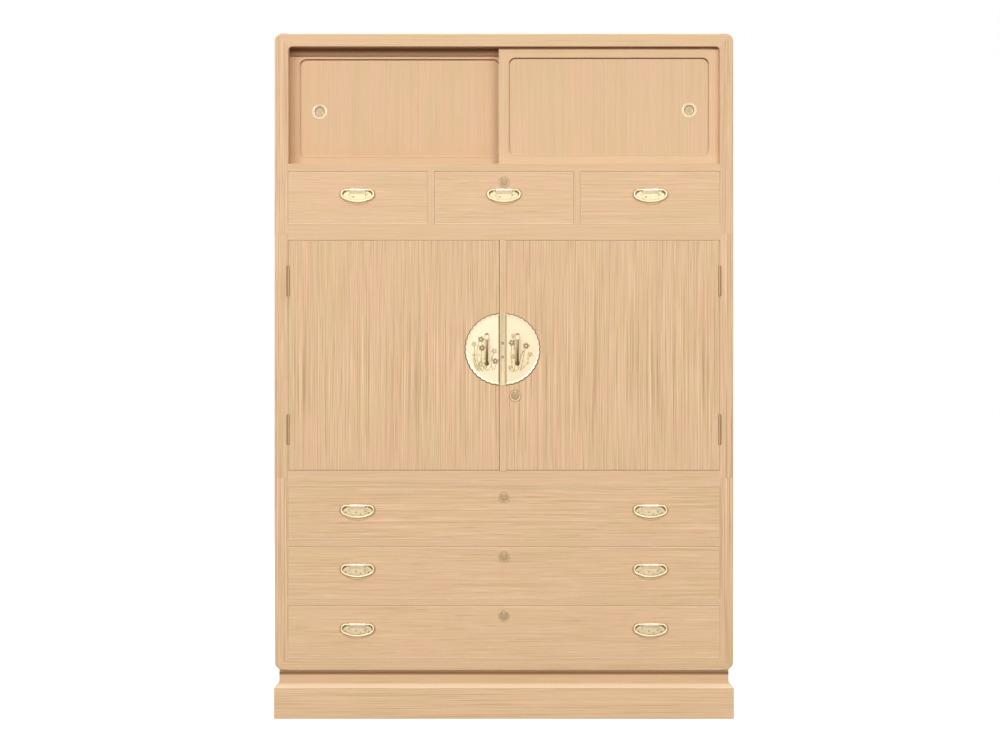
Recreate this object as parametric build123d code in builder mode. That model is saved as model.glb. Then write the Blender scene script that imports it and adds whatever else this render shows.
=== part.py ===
"""Isho clothing chest: three stacked paulownia cases on a plinth, in millimetres.

X runs to the right, Y to the back and Z up, and the chest's front faces -Y.
The origin is on the floor, in the middle of the whole outline with its door pulls.
"""

from build123d import *
from math import atan2, cos, degrees, radians, sin
import os

os.makedirs("parts", exist_ok=True)

# ---------------------------------------------------------------- driving sizes
# outer body
body_width = 1138.0
body_depth = 450.0
side_thickness = 33.5
back_thickness = 7.0
corner_radius = 20.0          # outer corners, seen from the front
front_round = 4.0             # roundover of the outer front edges
lip_corner = 10.0             # small cove in the two upper inner corners
lip_depth = 12.0
outer_share = 0.6             # an edge further out than this share of a board is on its outside

# plinth
base_height = 76.5            # up to the bevel
base_bevel = 12.0             # how far the bevel goes in
base_bevel_height = 9.5
base_thickness = 25.0
base_lip = 1.3                # how far the base stands outside the body
neck_height = 35.0
neck_thickness = 26.0

# boards and openings, from the plinth up to the top
lower_bottom_thickness = 30.0
wide_drawer_opening = 130.0
drawer_shelf_thickness = 17.0
lower_top_thickness = 22.0
middle_bottom_thickness = 19.0
door_opening = 571.0
middle_top_thickness = 16.0
upper_bottom_thickness = 23.5
small_drawer_opening = 131.5
sill_thickness = 18.5
sliding_opening = 291.5
top_thickness = 32.0
divider_thickness = 18.0

# drawers
drawer_front_thickness = 22.0
drawer_board_thickness = 10.0
drawer_bottom_thickness = 7.0
drawer_bottom_rise = 5.0
drawer_rear_gap = 14.0
drawer_side_gap = 0.5
drawer_top_gap = 0.8
running_gap = 0.3             # under a drawer or a sliding door
drawer_edge_bevel = 0.6

# sliding doors
sliding_thickness = 21.0
sliding_stile = 26.0          # face width of a sliding door's upright frame members
sliding_rail = 21.5           # face width of its level ones
front_track_depth = 16.0      # from the chest's front plane to the front door's face
track_gap = 9.0               # between the two doors, front to back
meeting_overlap = 26.0        # how far the doors overlap at the middle
field_corner = 16.0
field_recess = 4.0
panel_thickness = 10.0
panel_lap = 8.0
tongue_thickness = 8.0
groove_clearance = 0.5        # each side of a tongue in its groove
sill_groove_depth = 4.0
head_groove_depth = 12.0
head_gap = 6.0                # from a sliding door's shoulder to the ceiling
head_tongue_reach = 7.0
sill_gap = 0.8
sliding_side_gap = 0.5
rib_drop = 18.0               # the rib that hangs between the two doors
rib_gap = 1.5                 # each side of the rib
cup_radius = 18.5
cup_sides = 32
cup_dish_radius = 13.0
cup_depth = 7.5               # below the panel's face
cup_floor = 1.2
cup_proud = 1.2
cup_inset = 74.3              # cup centre from the frame's inner side
cup_drop = 156.0              # cup centre below the ceiling

# hinged doors
door_thickness = 24.0
door_edge_gap = 0.9
door_end_gap = 0.9
door_meeting_gap = 1.2
meeting_x = -11.0             # the line where the doors meet
door_edge_bevel = 0.8
strip_width = 14.7
strip_thickness = 5.0
strip_bevel = 1.6
strip_end_round = 3.5
strip_tail = 2.2              # the meeting strip reaches this far below the doors

# butt hinges
hinge_length = 73.0
hinge_end_distance = 65.0     # from a door's end to the hinge
hinge_knuckles = 3            # the frame leaf has the first and the last
knuckle_radius = 3.5
knuckle_sides = 12
knuckle_gap = 0.3
hinge_pin_radius = 1.75
pin_clearance = 0.05
hinge_leaf_thickness = 1.8
hinge_leaf_width = 22.0
hinge_leaf_gap = 0.2
hinge_pin_proud = 1.5         # pin axis in front of the door's face
hinge_relief = 0.5

# round plate and bow pulls on the hinged doors
plate_radius = 90.0
plate_thickness = 2.0
plate_rise = 300.0            # from the floor of the door opening to the plate's centre
plate_edge_gap = 0.6
plate_inset = 4.0             # each half circle's centre beyond its own straight edge
strip_plate_thickness = 1.5
pull_length = 81.0
pull_foot_width = 10.0
pull_waist_width = 5.0
pull_reach = 22.0             # from the door's face to the front of the pull
pull_bar = 6.0
pull_toe = 9.6                # length of each foot where it stands on the plate
pull_spacing = 76.0
pull_shift = 1.4              # the pair stands this far left of the strip's middle

# locks
escutcheon_radius = 13.5
escutcheon_thickness = 1.2
keyhole_radius = 2.2
keyhole_width = 2.6
keyhole_length = 7.0
keyhole_sides = 8
cover_radius = 9.2
cover_sides = 16
cover_eye_radius = 3.0
cover_thickness = 1.3
cover_gap = 0.3
cover_hang = 9.6              # from the cover's pin down to the escutcheon's centre
cover_pin_radius = 1.2
lock_width = 46.0
lock_height = 30.0
lock_thickness = 11.0
bolt_width = 20.0
bolt_thickness = 4.0
bolt_height = 16.0
bolt_clearance = 0.2
mortise_clearance = 1.0       # around the bolt in the wood it shoots into
bolt_throw = 8.0
lock_rise = 38.5              # keyhole above the middle of a drawer front
door_lock_x = 28.0
plate_lock_gap = 11.5         # between the round plate and the escutcheon below it

# bail handles
seat_width = 91.0
seat_height = 40.5
seat_thickness = 1.5
seat_corner = 14.0
bail_width = 84.0
bail_height = 33.0
bail_bar = 4.5
bail_corner = 13.0
handle_corner_steps = 3       # straight stretches that stand for each round part of a handle
handle_bow_steps = 8
barrel_length = 41.0
barrel_radius = 3.5
barrel_sides = 12
bail_pin_radius = 2.0
barrel_end_gap = 0.3
handle_rise = 19.0            # barrel axis above the middle of a drawer front

# trays behind the hinged doors
tray_count = 6
tray_height = 66.0
tray_board = 9.0
tray_bottom_thickness = 6.0
tray_front_height = 44.0
tray_side_gap = 1.0
tray_door_gap = 10.0
tray_rear_gap = 6.0
runner_width = 14.0
runner_height = 12.0

# ---------------------------------------------------------------- derived places
front_y = -(body_depth - pull_reach) / 2
back_y = front_y + body_depth
panel_y = back_y - back_thickness            # front face of the back panels
body_half = body_width / 2
inner_half = body_half - side_thickness

body_z = base_height + base_bevel_height + neck_height
first_drawer_z = body_z + lower_bottom_thickness
drawer_pitch = wide_drawer_opening + drawer_shelf_thickness
lower_ceiling_z = first_drawer_z + 3 * wide_drawer_opening + 2 * drawer_shelf_thickness
middle_z = lower_ceiling_z + lower_top_thickness
door_low_z = middle_z + middle_bottom_thickness
door_high_z = door_low_z + door_opening
upper_z = door_high_z + middle_top_thickness
small_drawer_z = upper_z + upper_bottom_thickness
sill_z = small_drawer_z + small_drawer_opening
sill_top_z = sill_z + sill_thickness
ceiling_z = sill_top_z + sliding_opening
top_z = ceiling_z + top_thickness

small_drawer_width = (2 * inner_half - 2 * divider_thickness) / 3
small_drawer_pitch = small_drawer_width + divider_thickness
wide_drawer_width = 2 * inner_half
plate_z = door_low_z + plate_rise
door_lock_z = plate_z - plate_radius - plate_lock_gap - escutcheon_radius

across = (-inner_half, inner_half)
front_to_panel = (front_y, panel_y)

front_door_y = front_y + front_track_depth
rear_door_y = front_door_y + sliding_thickness + track_gap


# ---------------------------------------------------------------- helpers
def front_view(y, x=0.0, z=0.0):
    """A sketch plane that faces the viewer at depth y: X right, Z up, extruding towards the viewer."""
    return Plane(origin=(x, y, z), x_dir=(1, 0, 0), z_dir=(0, -1, 0))


def middle(span):
    return (span[0] + span[1]) / 2


def board(x, y, z, mode=Mode.ADD):
    """A straight board between (low, high) limits along each axis."""
    with BuildSketch(Plane.XY.offset(z[0])) as outline:
        with Locations((middle(x), middle(y))):
            Rectangle(x[1] - x[0], y[1] - y[0])
    extrude(outline.sketch, amount=z[1] - z[0], mode=mode)


def pin(x, y, z, radius, length, mode=Mode.ADD):
    """An upright round bar that starts at height z."""
    with BuildSketch(Plane.XY.offset(z)) as outline:
        with Locations((x, y)):
            Circle(radius)
    extrude(outline.sketch, amount=length, mode=mode)


def loose_board(x, y, z):
    """A board that touches others and still stays a piece of its own."""
    with BuildPart() as piece:
        board(x, y, z)
    return piece.part


def save(pieces, name):
    """Write one node. A list holds pieces that touch without being joined."""
    node = Compound([piece.solid() for piece in pieces]) if isinstance(pieces, list) else pieces
    node.label = name
    export_step(node, f"parts/{name}.step")


def mitre_plane(side, outer_z, inner_z):
    """The plane of a mitred corner. Its normal points into the horizontal board."""
    rise = outer_z - inner_z
    upward = 1 if rise > 0 else -1
    return Plane(
        origin=(side * body_half, 0, outer_z),
        x_dir=(0, 1, 0),
        z_dir=(-side * abs(rise), 0, upward * side_thickness),
    )


def case_frame(open_z, outer_z, inner_z, cove=0.0):
    """Two sides and one end board as a single U, before the mitres part them."""
    with BuildPart() as frame:
        with BuildSketch(front_view(back_y)):
            with BuildLine():
                Polyline(
                    (-body_half, open_z),
                    (-body_half, outer_z),
                    (body_half, outer_z),
                    (body_half, open_z),
                    (inner_half, open_z),
                    (inner_half, inner_z),
                    (-inner_half, inner_z),
                    (-inner_half, open_z),
                    close=True,
                )
            make_face()
        extrude(amount=body_depth)
        upward = 1 if outer_z > inner_z else -1
        by_height = edges().filter_by(Axis.Y).group_by(Axis.Z)
        fillet(by_height[-1] if upward > 0 else by_height[0], corner_radius)
        if cove:
            with BuildSketch(front_view(front_y + lip_depth)):
                with BuildLine():
                    cove_x = inner_half - cove
                    cove_z = inner_z - cove
                    Polyline((cove_x, inner_z), (inner_half, inner_z), (inner_half, cove_z))
                    CenterArc((cove_x, cove_z), cove, 0, 90)
                make_face()
                mirror(about=Plane.YZ)
            extrude(amount=lip_depth)
        front_edges = faces().sort_by(Axis.Y)[0].edges()
        outside = front_edges.filter_by(
            lambda edge: abs(edge.center().X) > inner_half + outer_share * side_thickness
            or upward * (edge.center().Z - inner_z) > outer_share * abs(outer_z - inner_z)
        )
        fillet(outside, front_round)
    return frame.part


class DShape:
    """A D lying on its back: a flat top edge, two round corners and one wide arc below."""

    def __init__(self, width, height, corner, top):
        drop = height - corner
        self.top = top
        self.corner = corner
        self.reach = width / 2 - corner
        self.corner_z = top - corner
        self.bow = (self.reach**2 + drop**2 - corner**2) / (2 * (drop - corner))
        self.bow_z = top - height + self.bow
        self.meet = degrees(atan2(self.corner_z - self.bow_z, self.reach))

    def points(self):
        """Points along the shape, clockwise from the right end of its flat top."""
        right = on_arc(self.reach, self.corner_z, self.corner, 90, self.meet, handle_corner_steps)
        bow = on_arc(0, self.bow_z, self.bow, self.meet, -180 - self.meet, handle_bow_steps)
        left = [(-x, z) for x, z in reversed(right)]
        return right[:-1] + bow + left[1:]


def on_arc(x, z, radius, start, end, steps):
    """Points at equal angles along an arc."""
    turns = [radians(start + (end - start) * step / steps) for step in range(steps + 1)]
    return [(x + radius * cos(turn), z + radius * sin(turn)) for turn in turns]


def keyhole(mode=Mode.ADD):
    RegularPolygon(keyhole_radius, keyhole_sides, mode=mode)
    with Locations((0, -keyhole_length / 2)):
        Rectangle(keyhole_width, keyhole_length, mode=mode)


# ---------------------------------------------------------------- plinth
base_half = body_half + base_lip
base_front_y = front_y - base_lip
base_top_z = base_height + base_bevel_height
neck_half = base_half - base_bevel
neck_front_y = base_front_y + base_bevel


def plinth_frame(half, front, thickness, low, high, bevel=0.0, bevel_height=0.0):
    """Four mitred boards that stand on edge, each with its outer top edge bevelled except the rear one."""
    depth = back_y - front

    def section(edge):
        """Upright section of a board whose outer face is at edge, bevelled at the top."""
        slope = [(edge, high - bevel_height), (edge + bevel, high)] if bevel else [(edge, high)]
        return [(edge, low), *slope, (edge + thickness, high), (edge + thickness, low)]

    def corner_cut(side, at_front):
        """Mitre plane whose normal points along the side board."""
        corner_y = front if at_front else back_y
        return Plane(
            origin=(side * half, corner_y, 0),
            x_dir=(0, 0, 1),
            z_dir=(side, 1 if at_front else -1, 0),
        )

    with BuildPart() as front_board:
        with BuildSketch(Plane.YZ.offset(-half)):
            with BuildLine():
                Polyline(section(front), close=True)
            make_face()
        extrude(amount=2 * half)
        for side in (-1, 1):
            split(bisect_by=corner_cut(side, True), keep=Keep.BOTTOM)
    with BuildPart() as side_board:
        with BuildSketch(front_view(back_y)):
            with BuildLine():
                Polyline(section(-half), close=True)
            make_face()
        extrude(amount=depth)
        for at_front in (True, False):
            split(bisect_by=corner_cut(-1, at_front), keep=Keep.TOP)
    with BuildPart() as rear_board:
        board((-half, half), (back_y - thickness, back_y), (low, high))
        for side in (-1, 1):
            split(bisect_by=corner_cut(side, False), keep=Keep.BOTTOM)
            if bevel:
                with BuildSketch(front_view(back_y)):
                    with BuildLine():
                        edge_x = side * half
                        bevel_x = side * (half - bevel)
                        Polyline(
                            (edge_x, high),
                            (edge_x, high - bevel_height),
                            (bevel_x, high),
                            close=True,
                        )
                    make_face()
                extrude(amount=thickness, mode=Mode.SUBTRACT)
    with BuildPart() as other_side_board:
        mirror(side_board.part, about=Plane.YZ)
    return [front_board.part, side_board.part, other_side_board.part, rear_board.part]


base_boards = plinth_frame(
    base_half, base_front_y, base_thickness, 0.0, base_top_z, base_bevel, base_bevel_height
)
save(base_boards, "plinth_base")
save(plinth_frame(neck_half, neck_front_y, neck_thickness, base_top_z, body_z), "plinth_neck")

# ---------------------------------------------------------------- lower case
lower_frame = case_frame(middle_z, body_z, first_drawer_z)

with BuildPart() as lower_case_sides:
    add(lower_frame)
    split(bisect_by=mitre_plane(-1, body_z, first_drawer_z), keep=Keep.BOTTOM)
    mirror(about=Plane.YZ)
save(lower_case_sides.part, "lower_case_sides")

shelf_levels = [first_drawer_z + (level + 1) * drawer_pitch - drawer_shelf_thickness for level in range(2)]


def bolt_mortise(x, ceiling):
    """The pocket that a drawer's lock bolt shoots up into."""
    bolt_y = front_y + drawer_front_thickness - lock_thickness / 2
    half_width = bolt_width / 2 + mortise_clearance
    half_thickness = bolt_thickness / 2 + mortise_clearance
    board(
        (x - half_width, x + half_width),
        (bolt_y - half_thickness, bolt_y + half_thickness),
        (ceiling, ceiling + bolt_throw + mortise_clearance),
        mode=Mode.SUBTRACT,
    )


with BuildPart() as lower_drawer_shelves:
    for level in shelf_levels:
        board(across, front_to_panel, (level, level + drawer_shelf_thickness))
        bolt_mortise(0, level)
save(lower_drawer_shelves.part, "lower_drawer_shelves")

with BuildPart() as lower_case_top_and_bottom:
    add(lower_frame)
    for side in (-1, 1):
        split(bisect_by=mitre_plane(side, body_z, first_drawer_z), keep=Keep.TOP)
    board(across, (front_y, back_y), (lower_ceiling_z, middle_z))
    bolt_mortise(0, lower_ceiling_z)
save(lower_case_top_and_bottom.part, "lower_case_top_and_bottom")

# ---------------------------------------------------------------- hinges: places and leaves
hinge_levels = [
    door_low_z + hinge_end_distance + hinge_length / 2,
    door_high_z - hinge_end_distance - hinge_length / 2,
]
pin_x = inner_half - door_edge_gap / 2
pin_y = front_y - hinge_pin_proud
leaf_start_y = pin_y + knuckle_radius + hinge_relief
leaf_end_y = leaf_start_y + hinge_leaf_width
knuckle_pitch = hinge_length / hinge_knuckles


def hinge_cuts(toward):
    """Mortises and knuckle reliefs of the left hinges, in the frame (-1) or in the door (1)."""
    near = -pin_x + toward * hinge_leaf_gap / 2
    far = -pin_x + toward * (hinge_leaf_gap / 2 + hinge_leaf_thickness)
    for level in hinge_levels:
        low = level - hinge_length / 2
        high = level + hinge_length / 2
        board((min(near, far), max(near, far)), (pin_y, leaf_end_y), (low, high), mode=Mode.SUBTRACT)
        relief_length = hinge_length + 2 * hinge_relief
        pin(-pin_x, pin_y, low - hinge_relief, knuckle_radius + hinge_relief, relief_length, Mode.SUBTRACT)


def hinge_leaves(toward, first):
    """Left-hand leaves, one at each level: knuckles first, first + 2 and so on belong to this leaf."""
    near = -pin_x + toward * hinge_leaf_gap / 2
    far = -pin_x + toward * (hinge_leaf_gap / 2 + hinge_leaf_thickness)
    for level in hinge_levels:
        low = level - hinge_length / 2
        board((min(near, far), max(near, far)), (leaf_start_y, leaf_end_y), (low, low + hinge_length))
        for number in range(first, hinge_knuckles, 2):
            knuckle_low = low + number * knuckle_pitch + knuckle_gap / 2
            knuckle_high = knuckle_low + knuckle_pitch - knuckle_gap
            board((min(near, far), max(near, far)), (pin_y, leaf_start_y), (knuckle_low, knuckle_high))
            with BuildSketch(Plane.XY.offset(knuckle_low)) as knuckle:
                with Locations((-pin_x, pin_y)):
                    RegularPolygon(knuckle_radius, knuckle_sides)
            extrude(knuckle.sketch, amount=knuckle_high - knuckle_low)


# ---------------------------------------------------------------- middle case
with BuildPart() as middle_case_sides:
    board((-body_half, -inner_half), (front_y, back_y), (middle_z, upper_z))
    fillet(edges().filter_by(Axis.Z).group_by(Axis.Y)[0].sort_by(Axis.X)[0], front_round)
    hinge_cuts(-1)
    mirror(about=Plane.YZ)
save(middle_case_sides.part, "middle_case_sides")

with BuildPart() as middle_case_top_and_bottom:
    for low, high in ((middle_z, door_low_z), (door_high_z, upper_z)):
        board(across, (front_y, back_y), (low, high))
save(middle_case_top_and_bottom.part, "middle_case_top_and_bottom")

with BuildPart() as frame_hinges:
    hinge_leaves(-1, 0)
    for level in hinge_levels:
        pin_start = level - hinge_length / 2 + knuckle_gap
        pin(-pin_x, pin_y, pin_start, hinge_pin_radius, hinge_length - 2 * knuckle_gap)
    mirror(about=Plane.YZ)
save(frame_hinges.part, "frame_hinges")

# ---------------------------------------------------------------- trays and their runners
tray_pitch = door_opening / tray_count
tray_front_y = front_y + door_thickness + tray_door_gap
tray_back_y = panel_y - tray_rear_gap
tray_half = inner_half - tray_side_gap
tray_levels = [door_low_z + number * tray_pitch + runner_height for number in range(tray_count)]

with BuildPart() as tray_runners:
    for level in tray_levels:
        for low_x in (-inner_half, inner_half - runner_width):
            board((low_x, low_x + runner_width), (tray_front_y, panel_y), (level - runner_height, level))
save(tray_runners.part, "tray_runners")

tray_inner_x = (-tray_half + tray_board, tray_half - tray_board)
tray_inner_y = (tray_front_y + tray_board, tray_back_y - tray_board)
tray_boards = []
for level in tray_levels:
    tray_z = (level, level + tray_height)
    for low_x in (-tray_half, tray_half - tray_board):
        tray_boards.append(loose_board((low_x, low_x + tray_board), (tray_front_y, tray_back_y), tray_z))
    tray_boards.append(loose_board(tray_inner_x, (tray_inner_y[1], tray_back_y), tray_z))
    tray_boards.append(loose_board(tray_inner_x, tray_inner_y, (level, level + tray_bottom_thickness)))
    tray_front_z = (level, level + tray_front_height)
    tray_boards.append(loose_board(tray_inner_x, (tray_front_y, tray_inner_y[0]), tray_front_z))
save(tray_boards, "clothing_trays")

# ---------------------------------------------------------------- upper case
upper_frame = case_frame(upper_z, top_z, ceiling_z, cove=lip_corner)

with BuildPart() as upper_case_sides:
    add(upper_frame)
    split(bisect_by=mitre_plane(-1, top_z, ceiling_z), keep=Keep.BOTTOM)
    mirror(about=Plane.YZ)
save(upper_case_sides.part, "upper_case_sides")


def tongue_span(door_y, clearance=0.0):
    """Front and back of the tongue along a sliding door's edge, or of the groove for it."""
    centre = door_y + sliding_thickness / 2
    half = tongue_thickness / 2 + clearance
    return (centre - half, centre + half)


with BuildPart() as upper_case_top:
    add(upper_frame)
    for side in (-1, 1):
        split(bisect_by=mitre_plane(side, top_z, ceiling_z), keep=Keep.TOP)
    for door_y in (front_door_y, rear_door_y):
        groove = tongue_span(door_y, groove_clearance)
        board(across, groove, (ceiling_z, ceiling_z + head_groove_depth), mode=Mode.SUBTRACT)
save(upper_case_top.part, "upper_case_top")

with BuildPart() as upper_case_bottom:
    board(across, (front_y, back_y), (upper_z, small_drawer_z))
save(upper_case_bottom.part, "upper_case_bottom")

with BuildPart() as small_drawer_dividers:
    for side in (-1, 1):
        centre = side * small_drawer_pitch / 2
        half = divider_thickness / 2
        board((centre - half, centre + half), front_to_panel, (small_drawer_z, sill_z))
save(small_drawer_dividers.part, "small_drawer_dividers")

with BuildPart() as sliding_door_tracks:
    board(across, front_to_panel, (sill_z, sill_top_z))
    for door_y in (front_door_y, rear_door_y):
        groove = tongue_span(door_y, groove_clearance)
        board(across, groove, (sill_top_z - sill_groove_depth, sill_top_z), mode=Mode.SUBTRACT)
    bolt_mortise(0, sill_z)
    rib_y = (front_door_y + sliding_thickness + rib_gap, rear_door_y - rib_gap)
    board(across, rib_y, (ceiling_z - rib_drop, ceiling_z))
save(sliding_door_tracks.part, "sliding_door_tracks")

with BuildPart() as case_backs:
    for panel_z in ((first_drawer_z, lower_ceiling_z), (door_low_z, door_high_z), (small_drawer_z, ceiling_z)):
        board(across, (panel_y, back_y), panel_z)
save(case_backs.part, "case_backs")

# ---------------------------------------------------------------- sliding doors
sliding_width = inner_half + meeting_overlap / 2 - sliding_side_gap
sliding_low_z = sill_top_z + sill_gap
sliding_high_z = ceiling_z - head_gap
sliding_height = sliding_high_z - sliding_low_z
sliding_mid_z = middle((sliding_low_z, sliding_high_z))
cup_height = ceiling_z - cup_drop
field_width = sliding_width - 2 * sliding_stile
field_height = sliding_height - 2 * sliding_rail

for name, side, door_y in (("left", -1, rear_door_y), ("right", 1, front_door_y)):
    door_x = side * (inner_half - sliding_side_gap - sliding_width / 2)
    cup_x = side * (inner_half - cup_inset)
    span = (door_x - sliding_width / 2, door_x + sliding_width / 2)
    tongue = tongue_span(door_y)
    with BuildPart() as sliding_door:
        with BuildSketch(front_view(door_y + sliding_thickness, door_x, sliding_mid_z)):
            Rectangle(sliding_width, sliding_height)
            RectangleRounded(field_width, field_height, field_corner, mode=Mode.SUBTRACT)
        extrude(amount=sliding_thickness)
        board(span, tongue, (sill_top_z - sill_groove_depth + running_gap, sliding_low_z))
        board(span, tongue, (sliding_high_z, ceiling_z + head_tongue_reach))
        with BuildSketch(front_view(door_y + sliding_thickness, door_x, sliding_mid_z)):
            Rectangle(field_width + 2 * panel_lap, field_height + 2 * panel_lap)
        extrude(amount=sliding_thickness - field_recess, mode=Mode.SUBTRACT)
        with BuildSketch(front_view(door_y + field_recess + panel_thickness, door_x, sliding_mid_z)):
            Rectangle(field_width + 2 * panel_lap, field_height + 2 * panel_lap)
            with Locations((cup_x - door_x, cup_height - sliding_mid_z)):
                Circle(cup_radius + pin_clearance, mode=Mode.SUBTRACT)
        extrude(amount=panel_thickness)
    save(sliding_door.part, f"{name}_sliding_door")

    with BuildPart() as finger_cup:
        with BuildSketch(front_view(door_y + field_recess + cup_depth, cup_x, cup_height)):
            RegularPolygon(cup_radius, cup_sides)
        extrude(amount=cup_depth + cup_proud)
        with BuildSketch(front_view(door_y + field_recess + cup_depth - cup_floor, cup_x, cup_height)):
            RegularPolygon(cup_dish_radius, cup_sides)
        extrude(amount=cup_depth + cup_proud, mode=Mode.SUBTRACT)
    save(finger_cup.part, f"{name}_finger_cup")

# ---------------------------------------------------------------- hinged doors
door_span_z = (door_low_z + door_end_gap, door_high_z - door_end_gap)
door_outer_x = inner_half - door_edge_gap
left_door_x = (-door_outer_x, meeting_x - door_meeting_gap / 2)
right_door_x = (meeting_x + door_meeting_gap / 2, door_outer_x)
lock_y = front_y + door_thickness - lock_thickness
door_bolt_y = lock_y + lock_thickness / 2


def ease_front(bevel):
    chamfer(faces().sort_by(Axis.Y)[0].edges(), bevel)


with BuildPart() as left_door:
    board(left_door_x, (front_y, front_y + door_thickness), door_span_z)
    ease_front(door_edge_bevel)
    hinge_cuts(1)
    mortise_half_width = bolt_width / 2 + mortise_clearance
    mortise_half_thickness = bolt_thickness / 2 + mortise_clearance
    board(
        (left_door_x[1] - bolt_throw - mortise_clearance, left_door_x[1]),
        (door_bolt_y - mortise_half_thickness, door_bolt_y + mortise_half_thickness),
        (door_lock_z - mortise_half_width, door_lock_z + mortise_half_width),
        mode=Mode.SUBTRACT,
    )
save(left_door.part, "left_door")

door_lock_span = (right_door_x[0], door_lock_x + lock_height / 2)
with BuildPart() as right_door:
    with BuildSketch(Plane.XY.offset(door_span_z[0])):
        with Locations((-middle(right_door_x), front_y + door_thickness / 2)):
            Rectangle(right_door_x[1] - right_door_x[0], door_thickness)
    extrude(amount=door_span_z[1] - door_span_z[0])
    ease_front(door_edge_bevel)
    hinge_cuts(1)
    mirror(about=Plane.YZ, mode=Mode.REPLACE)
    board(
        door_lock_span,
        (lock_y, front_y + door_thickness),
        (door_lock_z - lock_width / 2, door_lock_z + lock_width / 2),
        mode=Mode.SUBTRACT,
    )
    with BuildSketch(front_view(lock_y, door_lock_x, door_lock_z)):
        keyhole()
    extrude(amount=lock_y - front_y, mode=Mode.SUBTRACT)
save(right_door.part, "right_door")

with BuildPart() as meeting_strip:
    with BuildSketch(front_view(front_y, right_door_x[0] + strip_width / 2)):
        strip_low = door_span_z[0] - strip_tail
        with Locations((0, middle((strip_low, door_span_z[1])))):
            Rectangle(strip_width, door_span_z[1] - strip_low)
    extrude(amount=strip_thickness)
    fillet(edges().filter_by(Axis.Y).group_by(Axis.Z)[0], strip_end_round)
    ease_front(strip_bevel)
save(meeting_strip.part, "meeting_strip")

for name in ("left_door_hinges", "right_door_hinges"):
    with BuildPart() as door_hinges:
        hinge_leaves(1, 1)
        for level in hinge_levels:
            bore_radius = hinge_pin_radius + pin_clearance
            pin(-pin_x, pin_y, level - hinge_length / 2, bore_radius, hinge_length, Mode.SUBTRACT)
        if name.startswith("right"):
            mirror(about=Plane.YZ, mode=Mode.REPLACE)
    save(door_hinges.part, name)

# ---------------------------------------------------------------- round plate and bow pulls
strip_x = (right_door_x[0], right_door_x[0] + strip_width)
left_plate_x = left_door_x[1] - plate_edge_gap
right_plate_x = strip_x[1] + plate_edge_gap
left_plate_centre = left_plate_x + plate_inset
right_plate_centre = right_plate_x - plate_inset
pull_middle_x = middle(strip_x) - pull_shift


def bow_pull(x):
    """An arched grip on two feet: its side outline cut to a waisted front outline."""
    foot_y = front_y - plate_thickness
    half = pull_length / 2
    with BuildPart() as bow:
        with BuildSketch(Plane.YZ.offset(x - pull_foot_width / 2)):
            reach_y = front_y - pull_reach
            with BuildLine():
                ThreePointArc((foot_y, plate_z - half), (reach_y, plate_z), (foot_y, plate_z + half))
                inner = half - pull_toe
                Line((foot_y, plate_z + half), (foot_y, plate_z + inner))
                ThreePointArc(
                    (foot_y, plate_z + inner),
                    (reach_y + pull_bar, plate_z),
                    (foot_y, plate_z - inner),
                )
                Line((foot_y, plate_z - inner), (foot_y, plate_z - half))
            make_face()
        extrude(amount=pull_foot_width)
        with BuildSketch(front_view(foot_y, x, plate_z)):
            with BuildLine():
                waist = pull_waist_width / 2
                foot = pull_foot_width / 2
                ThreePointArc((-foot, half), (-waist, 0), (-foot, -half))
                Line((-foot, -half), (foot, -half))
                ThreePointArc((foot, -half), (waist, 0), (foot, half))
                Line((foot, half), (-foot, half))
            make_face()
        extrude(amount=pull_reach, mode=Mode.INTERSECT)
    return bow.part


left_pull = bow_pull(pull_middle_x - pull_spacing / 2)
right_pull = bow_pull(pull_middle_x + pull_spacing / 2)


def half_plate(edge_x, side, centre_x):
    """One side of the round plate, cut off straight along the meeting line."""
    with BuildPart() as plate:
        with BuildSketch(front_view(front_y)):
            with Locations((centre_x, plate_z)):
                Circle(plate_radius)
            with Locations((edge_x + side * plate_radius, plate_z)):
                Rectangle(2 * plate_radius, 2 * plate_radius, mode=Mode.INTERSECT)
        extrude(amount=plate_thickness)
    return plate.part


save([half_plate(left_plate_x, -1, left_plate_centre), left_pull], "left_door_plate")

with BuildPart() as strip_plate:
    with BuildSketch(front_view(front_y - strip_thickness)):
        with Locations((middle(strip_x), plate_z)):
            Circle(plate_radius)
            Rectangle(strip_width - 2 * strip_bevel, 2 * plate_radius, mode=Mode.INTERSECT)
    extrude(amount=strip_plate_thickness)
right_plate = half_plate(right_plate_x, 1, right_plate_centre)
save([right_plate, strip_plate.part, right_pull], "right_door_plate")


# ---------------------------------------------------------------- locks
def escutcheon(x, z):
    """Round keyhole plate, and the pin that its cover hangs on."""
    with BuildSketch(front_view(front_y, x, z)) as disc:
        Circle(escutcheon_radius)
        keyhole(Mode.SUBTRACT)
    extrude(disc.sketch, amount=escutcheon_thickness)
    with BuildSketch(front_view(front_y - escutcheon_thickness, x, z + cover_hang)) as shank:
        Circle(cover_pin_radius)
    extrude(shank.sketch, amount=cover_thickness + 2 * cover_gap)


def keyhole_cover(x, z):
    """Drop-shaped cover with an eye on the pin above the keyhole."""
    cover_y = front_y - escutcheon_thickness - cover_gap
    with BuildPart() as cover:
        with BuildSketch(front_view(cover_y, x, z)):
            RegularPolygon(cover_radius, cover_sides)
            with Locations((0, cover_hang)):
                RegularPolygon(cover_eye_radius, cover_sides)
            make_hull()
            with Locations((0, cover_hang)):
                Circle(cover_pin_radius + pin_clearance, mode=Mode.SUBTRACT)
        extrude(amount=cover_thickness)
    return cover.part


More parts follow.
